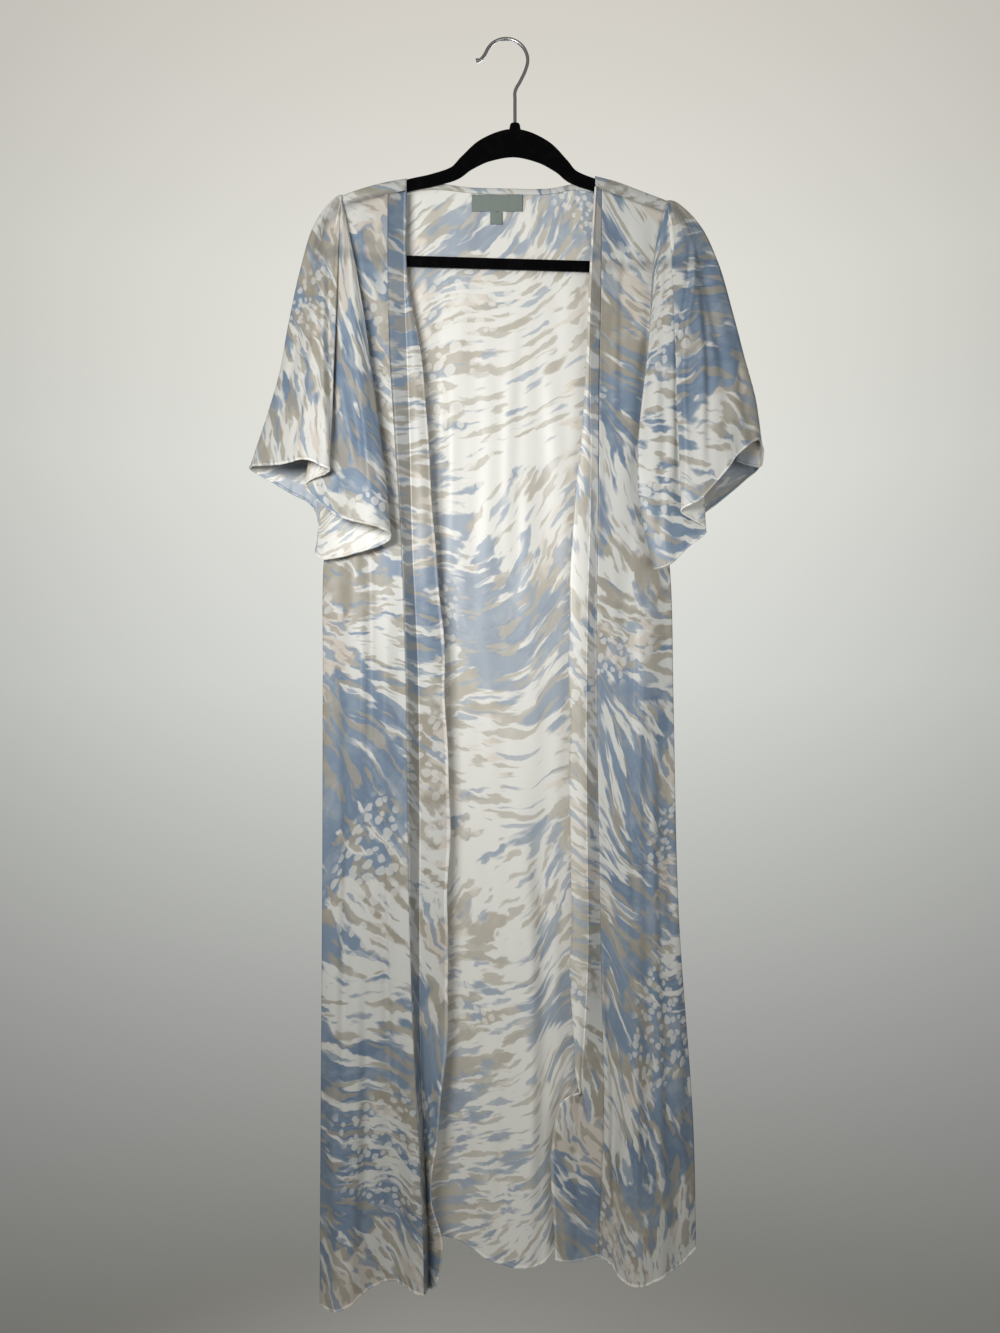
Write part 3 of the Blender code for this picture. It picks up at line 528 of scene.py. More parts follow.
# The room's tone at shares of the height from -37 to 37 degrees, and how it falls off sideways
ROOM = (
    (0.04, (113, 113, 108)),
    (0.24, (168, 169, 166)),
    (0.49, (217, 219, 214)),
    (0.66, (231, 231, 225)),
    (0.8, (228, 227, 219)),
    (1, (207, 202, 194)),
)
ROOM_RISE = 0.6  # sine of those degrees
ROOM_FALLS = 1.3
ROOM_LEAST = 0.7
ROOM_LIGHT = 0.4  # of what shows, as it lights the coat
WARM = (1.0, 0.995, 0.98)
COOL = (0.98, 0.99, 1.0)
# Lights: place, target, size, all in metres, watts, colour
LIGHTS = {
    "key": ((-0.42, -0.8, -0.4), (0, 0, -0.42), (0.4, 0.3), 6.4, WARM),
    "fill": ((0.5, -0.85, -0.7), (0.1, 0, -0.5), (0.4, 0.4), 1.9, COOL),
    "rear key": ((0.55, 1, -0.35), (0, 0, -0.6), (0.7, 0.7), 7.5, WARM),
    "rear fill": ((-0.6, 1, -0.85), (0, 0, -0.7), (0.7, 0.7), 5.5, COOL),
}
FLOOR_DROP = 1900.0
FLOOR_REACH = 1500.0
FLOOR_CELLS = (72, 24)  # round it and out from its middle
FLOOR_FADES = (0.4, 1.45)  # metres from its middle

# Colours as the eye sees them, from 0 to 255
IVORY = (238, 237, 231)
BLUSH = (228, 218, 205)
TAUPE = (178, 170, 153)
BLUE = (136, 155, 177)
DEEP_BLUE = (116, 136, 162)
PAINTED_SHADE = (58, 72, 84)  # colour of painted shade: the dark inside, a doubled band strip and the hanger seen through the sheer cloth
INSIDE = (IVORY, 0.24)  # the colour that washes the print on each side, and its share; inside it is the paler wrong side
# Outside, the wash is painted shade of the dark inside seen through the sheer cloth; on a band's
# doubled strip it is a deeper painted shade
OUTSIDE_SHADE = (PAINTED_SHADE, 0.24)
STRIP_SHADE = (PAINTED_SHADE, 0.56)
# Ivory share of the hems and pressed edges: a painted highlight
HEM_HIGHLIGHT = 0.16
SHOWS = 0.3  # how much more painted shade where the dark hanger lies behind the sheer cloth
SHOWS_SOFT = 5.0  # mm over which that fades
SHEER = ("front_right", "front_left", "back", "sleeve_right", "sleeve_left")
FLOCK = ((4, 4, 5), (11, 11, 12))
PLATING = (186, 186, 188)
LABEL_COLOURS = ((116, 127, 122), (158, 166, 160))
FLOOR = (205, 204, 200)
# A piece's materials: outside (painted shade), turned out, hem (painted highlight), a band's strip
# (deeper painted shade), then the other side of each
TURNED_SLOT = 1
HEM_SLOT = 2
STRIP_SLOT = 3
BACK_SLOT = 4
STROKE_LEANS = (-72.0, -48.0, -24.0)  # degrees
STROKE_TURNS = ((0.43, 0.49), (0.53, 0.59))  # where one lean goes over to the next


def span(stations, at):
    """The stretch between stations where each place is, its share along it, and its length."""
    at = np.clip(np.asarray(at, float), stations[0], stations[-1])
    i = np.clip(np.searchsorted(stations, at) - 1, 0, len(stations) - 2)
    wide = stations[i + 1] - stations[i]
    return i, (at - stations[i]) / wide, wide


def cubic(before, after, slope, slope_after, t, wide):
    rise = before * (1 + 2 * t) * (1 - t) ** 2 + after * t * t * (3 - 2 * t)
    return rise + (slope * t * (1 - t) ** 2 - slope_after * t * t * (1 - t)) * wide


def smooth(stations, values, at):
    """Points on the cubic curve through values at stations, for any array of places."""
    stations, values = np.asarray(stations, float), np.asarray(values, float)
    slopes = np.gradient(values, stations, axis=0)
    i, t, wide = span(stations, at)
    extra = (slice(None),) * t.ndim + (None,) * (values.ndim - 1)
    return cubic(values[i], values[i + 1], slopes[i], slopes[i + 1], t[extra], wide[extra])


def along_rows(stations, rows, at):
    """As smooth, with a row of values of its own for each place."""
    stations = np.asarray(stations, float)
    slopes = np.gradient(rows, stations, axis=1)
    i, t, wide = span(stations, at)
    n = np.arange(len(at))
    return cubic(rows[n, i], rows[n, i + 1], slopes[n, i], slopes[n, i + 1], t, wide)


def columns(table):
    """A table's first column, and the others."""
    table = np.asarray(table, float)
    return table[:, 0], table[:, 1:]


def line_at(table, at):
    """A two-column table's smooth line."""
    first, others = columns(table)
    return smooth(first, others[:, 0], at)


def outer_line(table, drop):
    """x, front depth and back depth of the armhole and side seam at each drop."""
    return np.moveaxis(smooth(*columns(table), drop), -1, 0)


def depth_at(folds, depths, across, down):
    """Depth of a panel at each pair of shares, across and down."""
    rows = smooth(*columns(depths), down).reshape(-1, len(folds))
    return along_rows(folds, rows, across.ravel()).reshape(across.shape)


def to_outer(y, from_edge, edge_depth):
    """Depths drawn in to a panel's outer edge, where from_edge is 0."""
    at_edge = y[:, :1] if from_edge[0, 0] == 0 else y[:, -1:]
    return y + (edge_depth - at_edge) * np.clip(1 - from_edge / EDGE_REACH, 0, 1) ** 2


def down_shares(cells):
    """Shares down a panel, closer together beside the armhole and at the hem."""
    upper = cells // 4
    beside = np.linspace(0, ARMHOLE_SHARE, upper + 1)
    below = np.linspace(ARMHOLE_SHARE, 1 - HEM_ROWS[0] / PANEL_LENGTH, cells - upper + 1)
    return np.concatenate([beside, below[1:], 1 - np.array(HEM_ROWS[1:]) / PANEL_LENGTH])


def seam_drop(shoulder, x):
    """Drop of the forward shoulder seam, which is straight."""
    (x0, drop0), (x1, drop1) = shoulder
    return drop0 + (drop1 - drop0) * (x - x0) / (x1 - x0)


def front_grid(outer, edge, shoulder, folds, depths, hem, across, down):
    """Middle surface of a front, from its forward shoulder seam to its hem."""
    drops, seam = columns(edge)
    start_x = max((end for end, _ in shoulder), key=abs)
    top = seam_drop(shoulder, start_x + (seam[0, 0] - start_x) * across)
    drop = top + (smooth(folds, hem, across) - top) * down
    x_out, depth_out, _ = outer_line(outer, drop)
    x = x_out + (smooth(drops, seam[:, 0], drop) - x_out) * across
    y = to_outer(depth_at(folds, depths, across, down), across, depth_out)
    grid = np.stack([x, y, -drop], axis=-1)
    grid[0, :, 2] = SEAM_GAP - SEWN_GAP - seam_drop(shoulder, x[0])
    return grid


def band_shares(cells):
    """Shares across a band, closer together at its crease and its free edge."""
    half = cells // 2
    first = np.sin(np.linspace(0, math.pi / 2, half + 1))
    second = 1 + np.sin(np.linspace(0, math.pi, half + 1) - math.pi / 2) / 2 + 0.5
    return np.concatenate([first, second[1:]])


def band_grid(edge, shoulder, hem, inward, shares):
    """Middle surface of a front band: its seam, its crease and its free edge."""
    across, down = np.meshgrid(shares, down_shares(BAND_CELLS[1]))
    drops, lines = columns(edge)
    top = seam_drop(shoulder, lines[0, 0] + (lines[0, 4] - lines[0, 0]) * across / 2)
    drop = top + (smooth((0, 1, 2), hem, across) - top) * down
    found = smooth(drops, lines, drop)
    first = np.minimum(across, 1)[..., None]
    second = np.maximum(across - 1, 0)[..., None]
    seam, crease, free = found[..., 0:2], found[..., 2:4], found[..., 4:6]
    flat = seam + (crease - seam) * first + (free - crease) * second
    x = flat[..., 0] + inward * SEWN_GAP * (1 - across / 2)
    return np.stack([x, flat[..., 1], -drop], axis=-1)


def back_shares():
    """Shares across the back for its columns, with one at each end of the neckline."""
    right, left = BACK_ENDS
    neck = [(x - right) / (left - right) for x in (SHOULDER_RIGHT[-1][0], SHOULDER_LEFT[0][0])]
    parts = (
        np.linspace(0, neck[0], BACK_SHOULDER_CELLS + 1),
        np.linspace(*neck, BACK_NECK_CELLS + 1)[1:],
        np.linspace(neck[1], 1, BACK_SHOULDER_CELLS + 1)[1:],
    )
    return np.concatenate(parts)


def back_top(x):
    """Drop of the back's first full row: the neckline, and a little below the ridge beside it."""
    beside = [(end, drop + BELOW_RIDGE) for end, drop in RIDGE_RIGHT[:-1]]
    beyond = [(end, drop + BELOW_RIDGE) for end, drop in RIDGE_LEFT[1:]]
    return line_at((*beside, *NECKLINE, *beyond), x)


def back_point(across, down):
    """The back's middle surface at shares across and down."""
    right, left = BACK_ENDS
    top = back_top(right + (left - right) * across)
    drop = top + (smooth(FOLDS_BACK, HEM_BACK, across) - top) * down
    x_right, _, depth_right = outer_line(OUTER_RIGHT, drop)
    x_left, _, depth_left = outer_line(OUTER_LEFT, drop)
    y = depth_at(FOLDS_BACK, DEPTHS_BACK, across, down)
    y = to_outer(to_outer(y, across, depth_right), 1 - across, depth_left)
    return np.stack([x_right + (x_left - x_right) * across, y, -drop], axis=-1)


def over_arm(ridge_line, shoulder, x):
    """Rows of the back's shoulder, from the forward seam over the hanger's arm."""
    ridge = line_at(ridge_line, x) + WALL / 2
    rows = [(x, np.full_like(x, -OVER_ARM), SEAM_GAP - seam_drop(shoulder, x))]
    for turn in np.radians(np.linspace(180, 0, WRAP_ROWS - 1)):
        y = np.full_like(x, OVER_ARM * math.cos(turn))
        rows.append((x, y, -(ridge + OVER_ARM * (1 - math.sin(turn)))))
    return np.moveaxis(np.array(rows), 1, -1)


def back_grid(shares):
    """The back's rows, and which cells of them hold cloth: none above the neckline."""
    main = back_point(*np.meshgrid(shares, down_shares(BACK_DOWN_CELLS)))
    x = BACK_ENDS[0] + (BACK_ENDS[1] - BACK_ENDS[0]) * shares
    n = BACK_SHOULDER_CELLS
    wrap = np.zeros((WRAP_ROWS, len(x), 3))
    wrap[:, : n + 1] = over_arm(RIDGE_RIGHT, SHOULDER_RIGHT, x[: n + 1])
    wrap[:, -n - 1 :] = over_arm(RIDGE_LEFT, SHOULDER_LEFT, x[-n - 1 :])
    kept = np.ones((len(wrap) + len(main) - 1, len(x) - 1), bool)
    kept[: len(wrap), n:-n] = False
    return np.concatenate([wrap, main]), kept


def on_back(from_x, to_x, from_drop, to_drop, cells):
    """A patch of the back's points, moved out towards the front."""
    xs = np.linspace(from_x, to_x, cells[0] + 1)
    x, drop = np.meshgrid(xs, np.linspace(from_drop, to_drop, cells[1] + 1))
    right, left = outer_line(OUTER_RIGHT, drop)[0], outer_line(OUTER_LEFT, drop)[0]
    across = (x - right) / (left - right)
    top = back_top(x)
    down = np.clip((drop - top) / (smooth(FOLDS_BACK, HEM_BACK, across) - top), 0, 1)
    depth = depth_at(FOLDS_BACK, DEPTHS_BACK, across, down)
    return np.stack([x, depth - LABEL_OUT, -drop], axis=-1)


def under_arm(shares, reach=0.04):
    """How near each share of the armhole is to its lowest point."""
    return np.exp(-((np.minimum(shares, 1 - shares) / reach) ** 2))


def armhole(outer, side, shares):
    """Where a sleeve starts: lapped on the armhole's edge, from the underarm up the front,
    over the hanger's arm and down the back."""
    ridge = outer[0][0] + WALL / 2
    up = np.sin((1 - np.abs(2 * shares - 1)) * math.pi / 2)
    drop = UNDERARM + (ridge - LAP_STEP - UNDERARM) * up
    x, front, back = outer_line(outer, drop)
    y = np.where(shares < 0.5, front - LAP_STEP, back + LAP_STEP) * (1 - under_arm(shares))
    bend = np.clip((ridge + OVER_ARM - drop) / (OVER_ARM + LAP_STEP), 0, 1)
    beside = (LAP + UNDERARM_STEP) * under_arm(shares, UNDERARM_REACH) - LAP
    return np.stack([x + side * beside, y * np.sqrt(1 - bend**2), -drop], axis=-1)


def sleeve_grid(table, outer, side):
    """A sleeve as a tube: rings from the armhole to the hem, closed round."""
    rows = np.array([(*row, 0.0)[:5] for row in table])
    folds = len(rows)
    ring = np.concatenate([rows[-2:], rows, rows[:3]])
    ring[:2, 0] -= 1
    ring[-3:, 0] += 1
    places = np.linspace(0, folds, folds * SLEEVE_CELLS_A_FOLD, endpoint=False)
    share, hem_x, hem_y, hem_drop, sway = smooth(np.arange(-2, folds + 3), ring, places).T
    share = np.clip(share, 0, 1)
    x, y, z = armhole(outer, side, share).T
    lengths = np.linspace(0, 1 - HEM_ROWS[0] / SLEEVE_LENGTH, SLEEVE_DOWN_CELLS + 1)
    lengths = [*lengths**SLEEVE_SPREAD, *(1 - np.array(HEM_ROWS[1:]) / SLEEVE_LENGTH)]
    fall = smooth(*columns(FALL), lengths)
    down, right_out, left_out, near_out, stand = np.moveaxis(fall[..., None], 1, 0)
    far_out = right_out if side < 0 else left_out
    shoulder = np.exp(-(((share - SHOULDER_SHARE) / SHOULDER_REACH) ** 2))
    low = under_arm(share)
    out = near_out + (far_out - near_out) * np.maximum(shoulder, low)
    front = np.where(share < 0.5, STAND_OFF_FRONT, STAND_OFF_BACK) * (1 - shoulder) * (1 - low)
    x = x + (hem_x - x) * out + sway * np.sin(math.pi * down**SLEEVE_SWAY)
    y = y + (hem_y - y) * down + front * stand
    z = z + (-hem_drop - z) * down
    return np.stack([x, y, z], axis=-1)


def linear(colour):
    """A colour's linear values, with alpha."""
    values = [v / 255 for v in colour]
    return (*[v / 12.92 if v < 0.04045 else ((v + 0.055) / 1.055) ** 2.4 for v in values], 1.0)


class Nodes:
    """The nodes of a material or of the world, made and joined one by one."""

    def __init__(self, tree):
        self.tree = tree

    def join(self, node, inputs):
        """Joins a node's inputs to outputs, or sets them to values."""
        for key, value in dict(inputs).items():
            if isinstance(value, bpy.types.NodeSocket):
                self.tree.links.new(value, node.inputs[key])
            else:
                node.inputs[key].default_value = value

    def put(self, kind, inputs=(), **settings):
        """A new node, with its settings and inputs."""
        node = self.tree.nodes.new("ShaderNode" + kind)
        for key, value in settings.items():
            setattr(node, key, value)
        self.join(node, inputs)
        return node

    def calc(self, operation, a, b=0.0):
        return self.put("Math", {0: a, 1: b}, operation=operation).outputs[0]

    def times(self, a, b):
        return self.calc("MULTIPLY", a, b)

    def vector(self, operation, a, b):
        return self.put("VectorMath", {0: a, 1: b}, operation=operation).outputs[0]

    def apart(self, place, across, down):
        return self.vector("ADD", place, (across, down, 0.0))

    def noise(self, place, scale, detail=2.0, rough=0.5):
        """A flat noise's height. Its colour is the second output of the same node."""
        inputs = {"Vector": place, "Scale": scale, "Detail": detail, "Roughness": rough}
        return self.put("TexNoise", inputs, noise_dimensions="2D").outputs[0]

    def grain(self, place, scale, detail):
        """The height of a noise in the round."""
        return self.put("TexNoise", {"Vector": place, "Scale": scale, "Detail": detail}).outputs[0]

    def step(self, value, low, high):
        """0 below low, 1 above high, and soft between."""
        inputs = {"Value": value, "From Min": low, "From Max": high}
        return self.put("MapRange", inputs, interpolation_type="SMOOTHSTEP").outputs[0]

    def mixed(self, share, a, b):
        return self.put("Mix", {0: share, 6: a, 7: b}, data_type="RGBA").outputs[2]

    def between(self, share, a, b):
        return self.put("Mix", {0: share, 2: a, 3: b}).outputs[0]

    def warped(self, place, scale, reach):
        """Places pushed about by a noise, by up to about half of reach."""
        colour = self.noise(place, scale).node.outputs[1]
        push = self.vector("SUBTRACT", colour, (0.5, 0.5, 0.5))
        push = self.put("VectorMath", {0: push, "Scale": reach}, operation="SCALE").outputs[0]
        return self.vector("ADD", place, push)

    def cloth(self):
        return self.put("UVMap", uv_map="cloth").outputs[0]

    def place(self):
        return self.put("TexCoord").outputs["Object"]

    def stretched(self, place, scale):
        return self.put("Mapping", {"Vector": place, "Scale": scale}).outputs[0]

    def bump(self, height, strength, distance):
        inputs = {"Height": height, "Strength": strength, "Distance": distance}
        return self.put("Bump", inputs).outputs[0]

    def brushed(self, place, turn, size, seed):
        """Height of brush strokes of one size, which lean three ways and change over with turn."""
        leans = []
        for degrees in STROKE_LEANS:
            inputs = {"Vector": place, "Angle": math.radians(degrees)}
            turned = self.put("VectorRotate", inputs, rotation_type="Z_AXIS").outputs[0]
            drawn = self.vector("MULTIPLY", turned, (1 / size[0], 1 / size[1], 1.0))
            leans.append(self.noise(self.apart(drawn, seed, seed + degrees), 1.0, 1.6, 0.45))
        height = leans[0]
        for lean, (low, high) in zip(leans[1:], STROKE_TURNS):
            height = self.between(self.step(turn, low, high), height, lean)
        return height


def print_colour(n):
    """A generic brushed print: colour patches, feathery pale strokes and a few pebbles."""
    swept = n.warped(n.cloth(), 2.4, 0.15)
    place = n.warped(swept, 30.0, 0.028)
    wavy = n.warped(swept, 70.0, 0.006)
    blue_land = n.noise(place, 7.2, 3.0, 0.55)
    taupe_land = n.noise(n.apart(place, 3.7, 1.9), 9.0, 3.0, 0.55)
    cover = n.noise(n.apart(swept, 8.1, 5.3), 6.0)
    lift = n.times(n.calc("SUBTRACT", cover, 0.5), 0.85)
    turn = n.noise(n.apart(swept, 4.4, 7.7), 3.4, 1.0)
    colour = n.mixed(n.step(taupe_land, 0.445, 0.495), linear(BLUSH), linear(TAUPE))
    colour = n.mixed(n.step(blue_land, 0.464, 0.504), colour, linear(BLUE))
    deep = n.times(n.step(blue_land, 0.56, 0.62), 0.7)
    colour = n.mixed(deep, colour, linear(DEEP_BLUE))
    strokes = n.calc("ADD", n.brushed(wavy, turn, (0.0135, 0.062), 3.0), lift)
    hairs = n.brushed(wavy, turn, (0.0045, 0.03), 17.0)
    dry = n.times(n.calc("SUBTRACT", hairs, 0.5), 0.2)
    pale = n.step(n.calc("ADD", strokes, dry), 0.48, 0.572)
    colour = n.mixed(pale, colour, linear(IVORY))
    tints = n.brushed(wavy, turn, (0.0095, 0.045), 29.0)
    warm = n.step(n.calc("SUBTRACT", tints, n.times(lift, 0.15)), 0.565, 0.635)
    colour = n.mixed(n.times(warm, 0.8), colour, linear(TAUPE))
    cool = n.calc("SUBTRACT", 1.0, n.calc("ADD", tints, n.times(lift, 0.45)))
    colour = n.mixed(n.times(n.step(cool, 0.58, 0.655), 0.75), colour, linear(BLUE))
    stones = n.put("TexVoronoi", {"Vector": wavy, "Scale": 85.0}, voronoi_dimensions="2D")
    tint = n.put("SeparateColor", {0: stones.outputs["Color"]}).outputs[0]
    size = n.calc("SUBTRACT", stones.outputs["Distance"], n.times(tint, 0.2))
    stone = n.calc("SUBTRACT", 1.0, n.step(size, 0.18, 0.26))
    bed = n.times(n.step(n.noise(n.apart(swept, 1.3, 9.2), 6.5, 1.0), 0.57, 0.63), 0.7)
    colour = n.mixed(n.times(stone, bed), colour, linear(IVORY))
    wash = n.times(n.step(n.noise(place, 30.0, 3.0, 0.6), 0.45, 0.75), 0.2)
    return n.mixed(wash, colour, linear(IVORY))


def floats(n, strength):
    """Bump of the satin's floats, long along the warp."""
    return n.bump(n.noise(n.stretched(n.cloth(), (1500.0, 330.0, 1.0)), 1.0), strength, 0.0003)


def material(name, dress):
    """A Principled material, with the inputs that dress gives for its nodes."""
    made = bpy.data.materials.new(name)
    made.use_nodes = True
    n = Nodes(made.node_tree)
    n.join(made.node_tree.nodes["Principled BSDF"], dress(n))
    return made


def satin(name, wash):
    def dress(n):
        colour, share = wash
        # The wash is painted shade outside and on a band's strip, and the paler wrong side inside;
        # the attribute adds painted shade where the hanger lies behind and on the left band's strip
        washed = n.mixed(share, print_colour(n), linear(colour))
        painted_shade = n.put("Attribute", attribute_name="painted_shade").outputs["Fac"]
        return {
            "Base Color": n.mixed(n.times(painted_shade, SHOWS), washed, linear(PAINTED_SHADE)),
            "Normal": floats(n, 0.25),
            "Roughness": 0.42,
            "Sheen Weight": 0.18,
            "Sheen Roughness": 0.35,
        }

    return material(name, dress)


def hem_satin(n):
    """The rolled hems and pressed edges: the same print with a painted highlight that makes it
    paler, and smoother.
    """
    return {
        "Base Color": n.mixed(HEM_HIGHLIGHT, print_colour(n), linear(IVORY)),
        "Normal": floats(n, 0.15),
        "Roughness": 0.27,
        "Sheen Weight": 0.25,
        "Sheen Roughness": 0.3,
    }


def flock(n):
    place = n.place()
    dust = n.step(n.grain(place, 90.0, 3.0), 0.45, 0.8)
    return {
        "Base Color": n.mixed(dust, *map(linear, FLOCK)),
        "Normal": n.bump(n.grain(place, 1900.0, 2.0), 0.6, 0.0004),
        "Roughness": 0.96,
        "Specular IOR Level": 0.06,
        "Sheen Weight": 0.02,
        "Sheen Roughness": 0.5,
    }


def plating(n):
    """Chrome on drawn wire, with fine lines along it."""
    lines = n.grain(n.stretched(n.place(), (900.0, 900.0, 60.0)), 1.0, 2.0)
    rough = n.put("MapRange", {"Value": lines, "To Min": 0.27, "To Max": 0.33}).outputs[0]
    return {"Base Color": linear(PLATING), "Metallic": 1.0, "Roughness": rough}


def woven(n):
    """A bare woven label: a plain ground of fine ribs and rows."""
    waves = []
    for way, scale, wander in (("Y", 420.0, 0.6), ("X", 260.0, 0.8)):
        inputs = {"Vector": n.cloth(), "Scale": scale, "Distortion": wander}
        waves.append(n.put("TexWave", inputs, bands_direction=way).outputs[1])
    both = n.times(*waves)
    colour = n.mixed(both, *map(linear, LABEL_COLOURS))
    return {"Base Color": colour, "Normal": n.bump(both, 0.5, 0.0002), "Roughness": 0.55}


def waves(at, size, drift=0.0):
    """Waves along a line: size is their height, and their length for each radian."""
    return size[0] * np.sin(at / size[1] + drift)


def wander(sway, wide, t, start):
    """How far a line has moved aside at shares of its length."""
    return sway[0] * wide * np.sin(sway[1] * t + start)


def tapered(t, ends):
    """1 in the middle of a line, falling towards its ends."""
    start, power = ends
    return np.sin(math.pi * np.clip(start + (1 - 2 * start) * t, 0, 1)) ** power


def in_depth(grid, moved):
    out = grid.copy()
    out[..., 1] += moved
    return out


def creased(grid, table, fade):
    """A panel's points moved in depth by its creases and ripples, less where fade nears 0."""
    x, drop = grid[..., 0], -grid[..., 2]
    moved = np.zeros_like(x)
    for x0, drop0, x1, drop1, wide, high in table:
        dx, down = x1 - x0, drop1 - drop0
        t = np.clip(((x - x0) * dx + (drop - drop0) * down) / (dx * dx + down * down), 0, 1)
        side = (x - x0 - dx * t - wander(CREASE_SWAY, wide, t, x0)) / wide
        past = (drop - drop0 - down * t) / wide
        near = np.exp(-side * side - past * past)
        moved += high * (1 + CREASE_LEAN * side) * near * tapered(t, CREASE_ENDS)
    for across, along, phase, high in RIPPLES:
        bend = RIPPLE_BEND[0] * np.sin(2 * math.pi * drop / along + phase * RIPPLE_BEND[1])
        moved += high * np.sin(2 * math.pi * x / across + phase + bend)
    return in_depth(grid, moved * fade)


def lapped(grid, table, fade):
    """Points moved in depth where the cloth laps over itself: up on one side of a line, and
    down on the other."""
    x, drop = grid[..., 0], -grid[..., 2]
    moved = np.zeros_like(x)
    for x0, drop0, x1, drop1, wide, high in table:
        t = (drop - drop0) / (drop1 - drop0)
        side = (x - x0 - (x1 - x0) * t - wander(LAP_SWAY, wide, t, x0)) / wide
        moved += high * LAP_PEAK * side * np.exp(-side * side) * tapered(t, LAP_ENDS)
    return in_depth(grid, moved * fade)


def normals_of(grid, closed):
    if closed:
        across = np.roll(grid, -1, axis=1) - np.roll(grid, 1, axis=1)
    else:
        across = np.gradient(grid, axis=1)
    found = np.cross(across, np.gradient(grid, axis=0))
    return found / np.maximum(np.linalg.norm(found, axis=-1, keepdims=True), 1e-9)


def run_along(points):
    """Distance of each point of a line from its first one."""
    steps = np.linalg.norm(np.diff(points, axis=0), axis=-1)
    return np.concatenate([np.zeros((1, *steps.shape[1:])), np.cumsum(steps, axis=0)])


def from_end(grid):
    """Distance of each point from its column's last point, along the column."""
    return run_along(grid[::-1])[::-1]


def sleeve_creased(grid, table, folds, outward):
    """A sleeve's points moved along its normals by its creases and the gathers at its head."""
    rows, wide = grid.shape[:2]
    place = np.arange(wide) * folds / wide
    length = run_along(grid[:, wide // 2])
    length = (length / length[-1])[:, None]
    moved = np.zeros((rows, wide))
    for fold, reach, start, end, high in table:
        away = (place - fold + folds / 2) % folds - folds / 2
        t = np.clip((length - start) / (end - start), 0, 1)
        moved += high * np.exp(-((away / reach) ** 2)) * np.sin(math.pi * t) ** SLEEVE_TAPER
    head = np.exp(-(((place / folds - GATHER_AT) / GATHER_REACH) ** 2))
    drift = GATHER_DRIFT[0] * np.sin(place * GATHER_DRIFT[1])
    gathers = np.sin(2 * math.pi * place / folds * GATHERS + drift)
    rise = np.clip(length / GATHER_START, 0, 1) * np.exp(-length / GATHER_LONG)
    moved += GATHER_HIGH * gathers * head * rise
    return grid + normals_of(grid, True) * (moved * outward)[..., None]


def puckered(grid, from_hem, closed=False):
    """A hem's small waves, made where its rolled edge is a little tight."""
    run = run_along(grid[-1])
    long, high = PUCKER
    if closed:
        long = run[-1] / round(run[-1] / long)
    turn = 2 * math.pi * run / long
    puckers = np.sin(turn) + PUCKER_SECOND[0] * np.sin(turn * 2 + PUCKER_SECOND[1])
    near = np.exp(-((from_hem / PUCKER_REACH[0]) ** PUCKER_REACH[1]))
    return grid + normals_of(grid, closed) * (high * puckers * near)[..., None]


def rolled(distance, thick=ROLL, wide=ROLL_WIDE):
    """Thickness of cloth that ends in a small roll."""
    t = np.clip(distance / wide, 0, 1)
    return CLOTH + (thick - CLOTH) * np.sqrt(np.clip(1 - (2 * t - 1) ** 2, 0, 1))


def on_cloth(grid, start, closed=False, middle=None):
    """Each point's place on the flat cloth, in metres, with its rows spread from one column."""
    middle = grid.shape[1] // 2 if middle is None else middle
    full = np.concatenate([grid, grid[:, :1]], axis=1) if closed else grid
    run = run_along(full.swapaxes(0, 1)).T
    u = start[0] + (run - run[:, middle : middle + 1]) * MM * start[2]
    down = run_along(grid[:, middle])[:, None]
    return np.stack([u, start[1] - np.broadcast_to(down, u.shape) * MM], axis=-1)


def piece(name, points, faces, materials, uv=None, face_slots=None):
    mesh = bpy.data.meshes.new(name)
    mesh.from_pydata((np.asarray(points) * MM).tolist(), [], faces)
    for made in materials:
        mesh.materials.append(made)
    mesh.polygons.foreach_set("use_smooth", np.ones(len(mesh.polygons), bool))
    if face_slots is not None:
        mesh.polygons.foreach_set("material_index", np.asarray(face_slots, np.int32))
    if uv is not None:
        layer = mesh.uv_layers.new(name="cloth")
        layer.data.foreach_set("uv", np.asarray(uv, np.float32).ravel())
    return linked(name, mesh)


def linked(name, data):
    made = bpy.data.objects.new(name, data)
    bpy.context.scene.collection.objects.link(made)
    return made


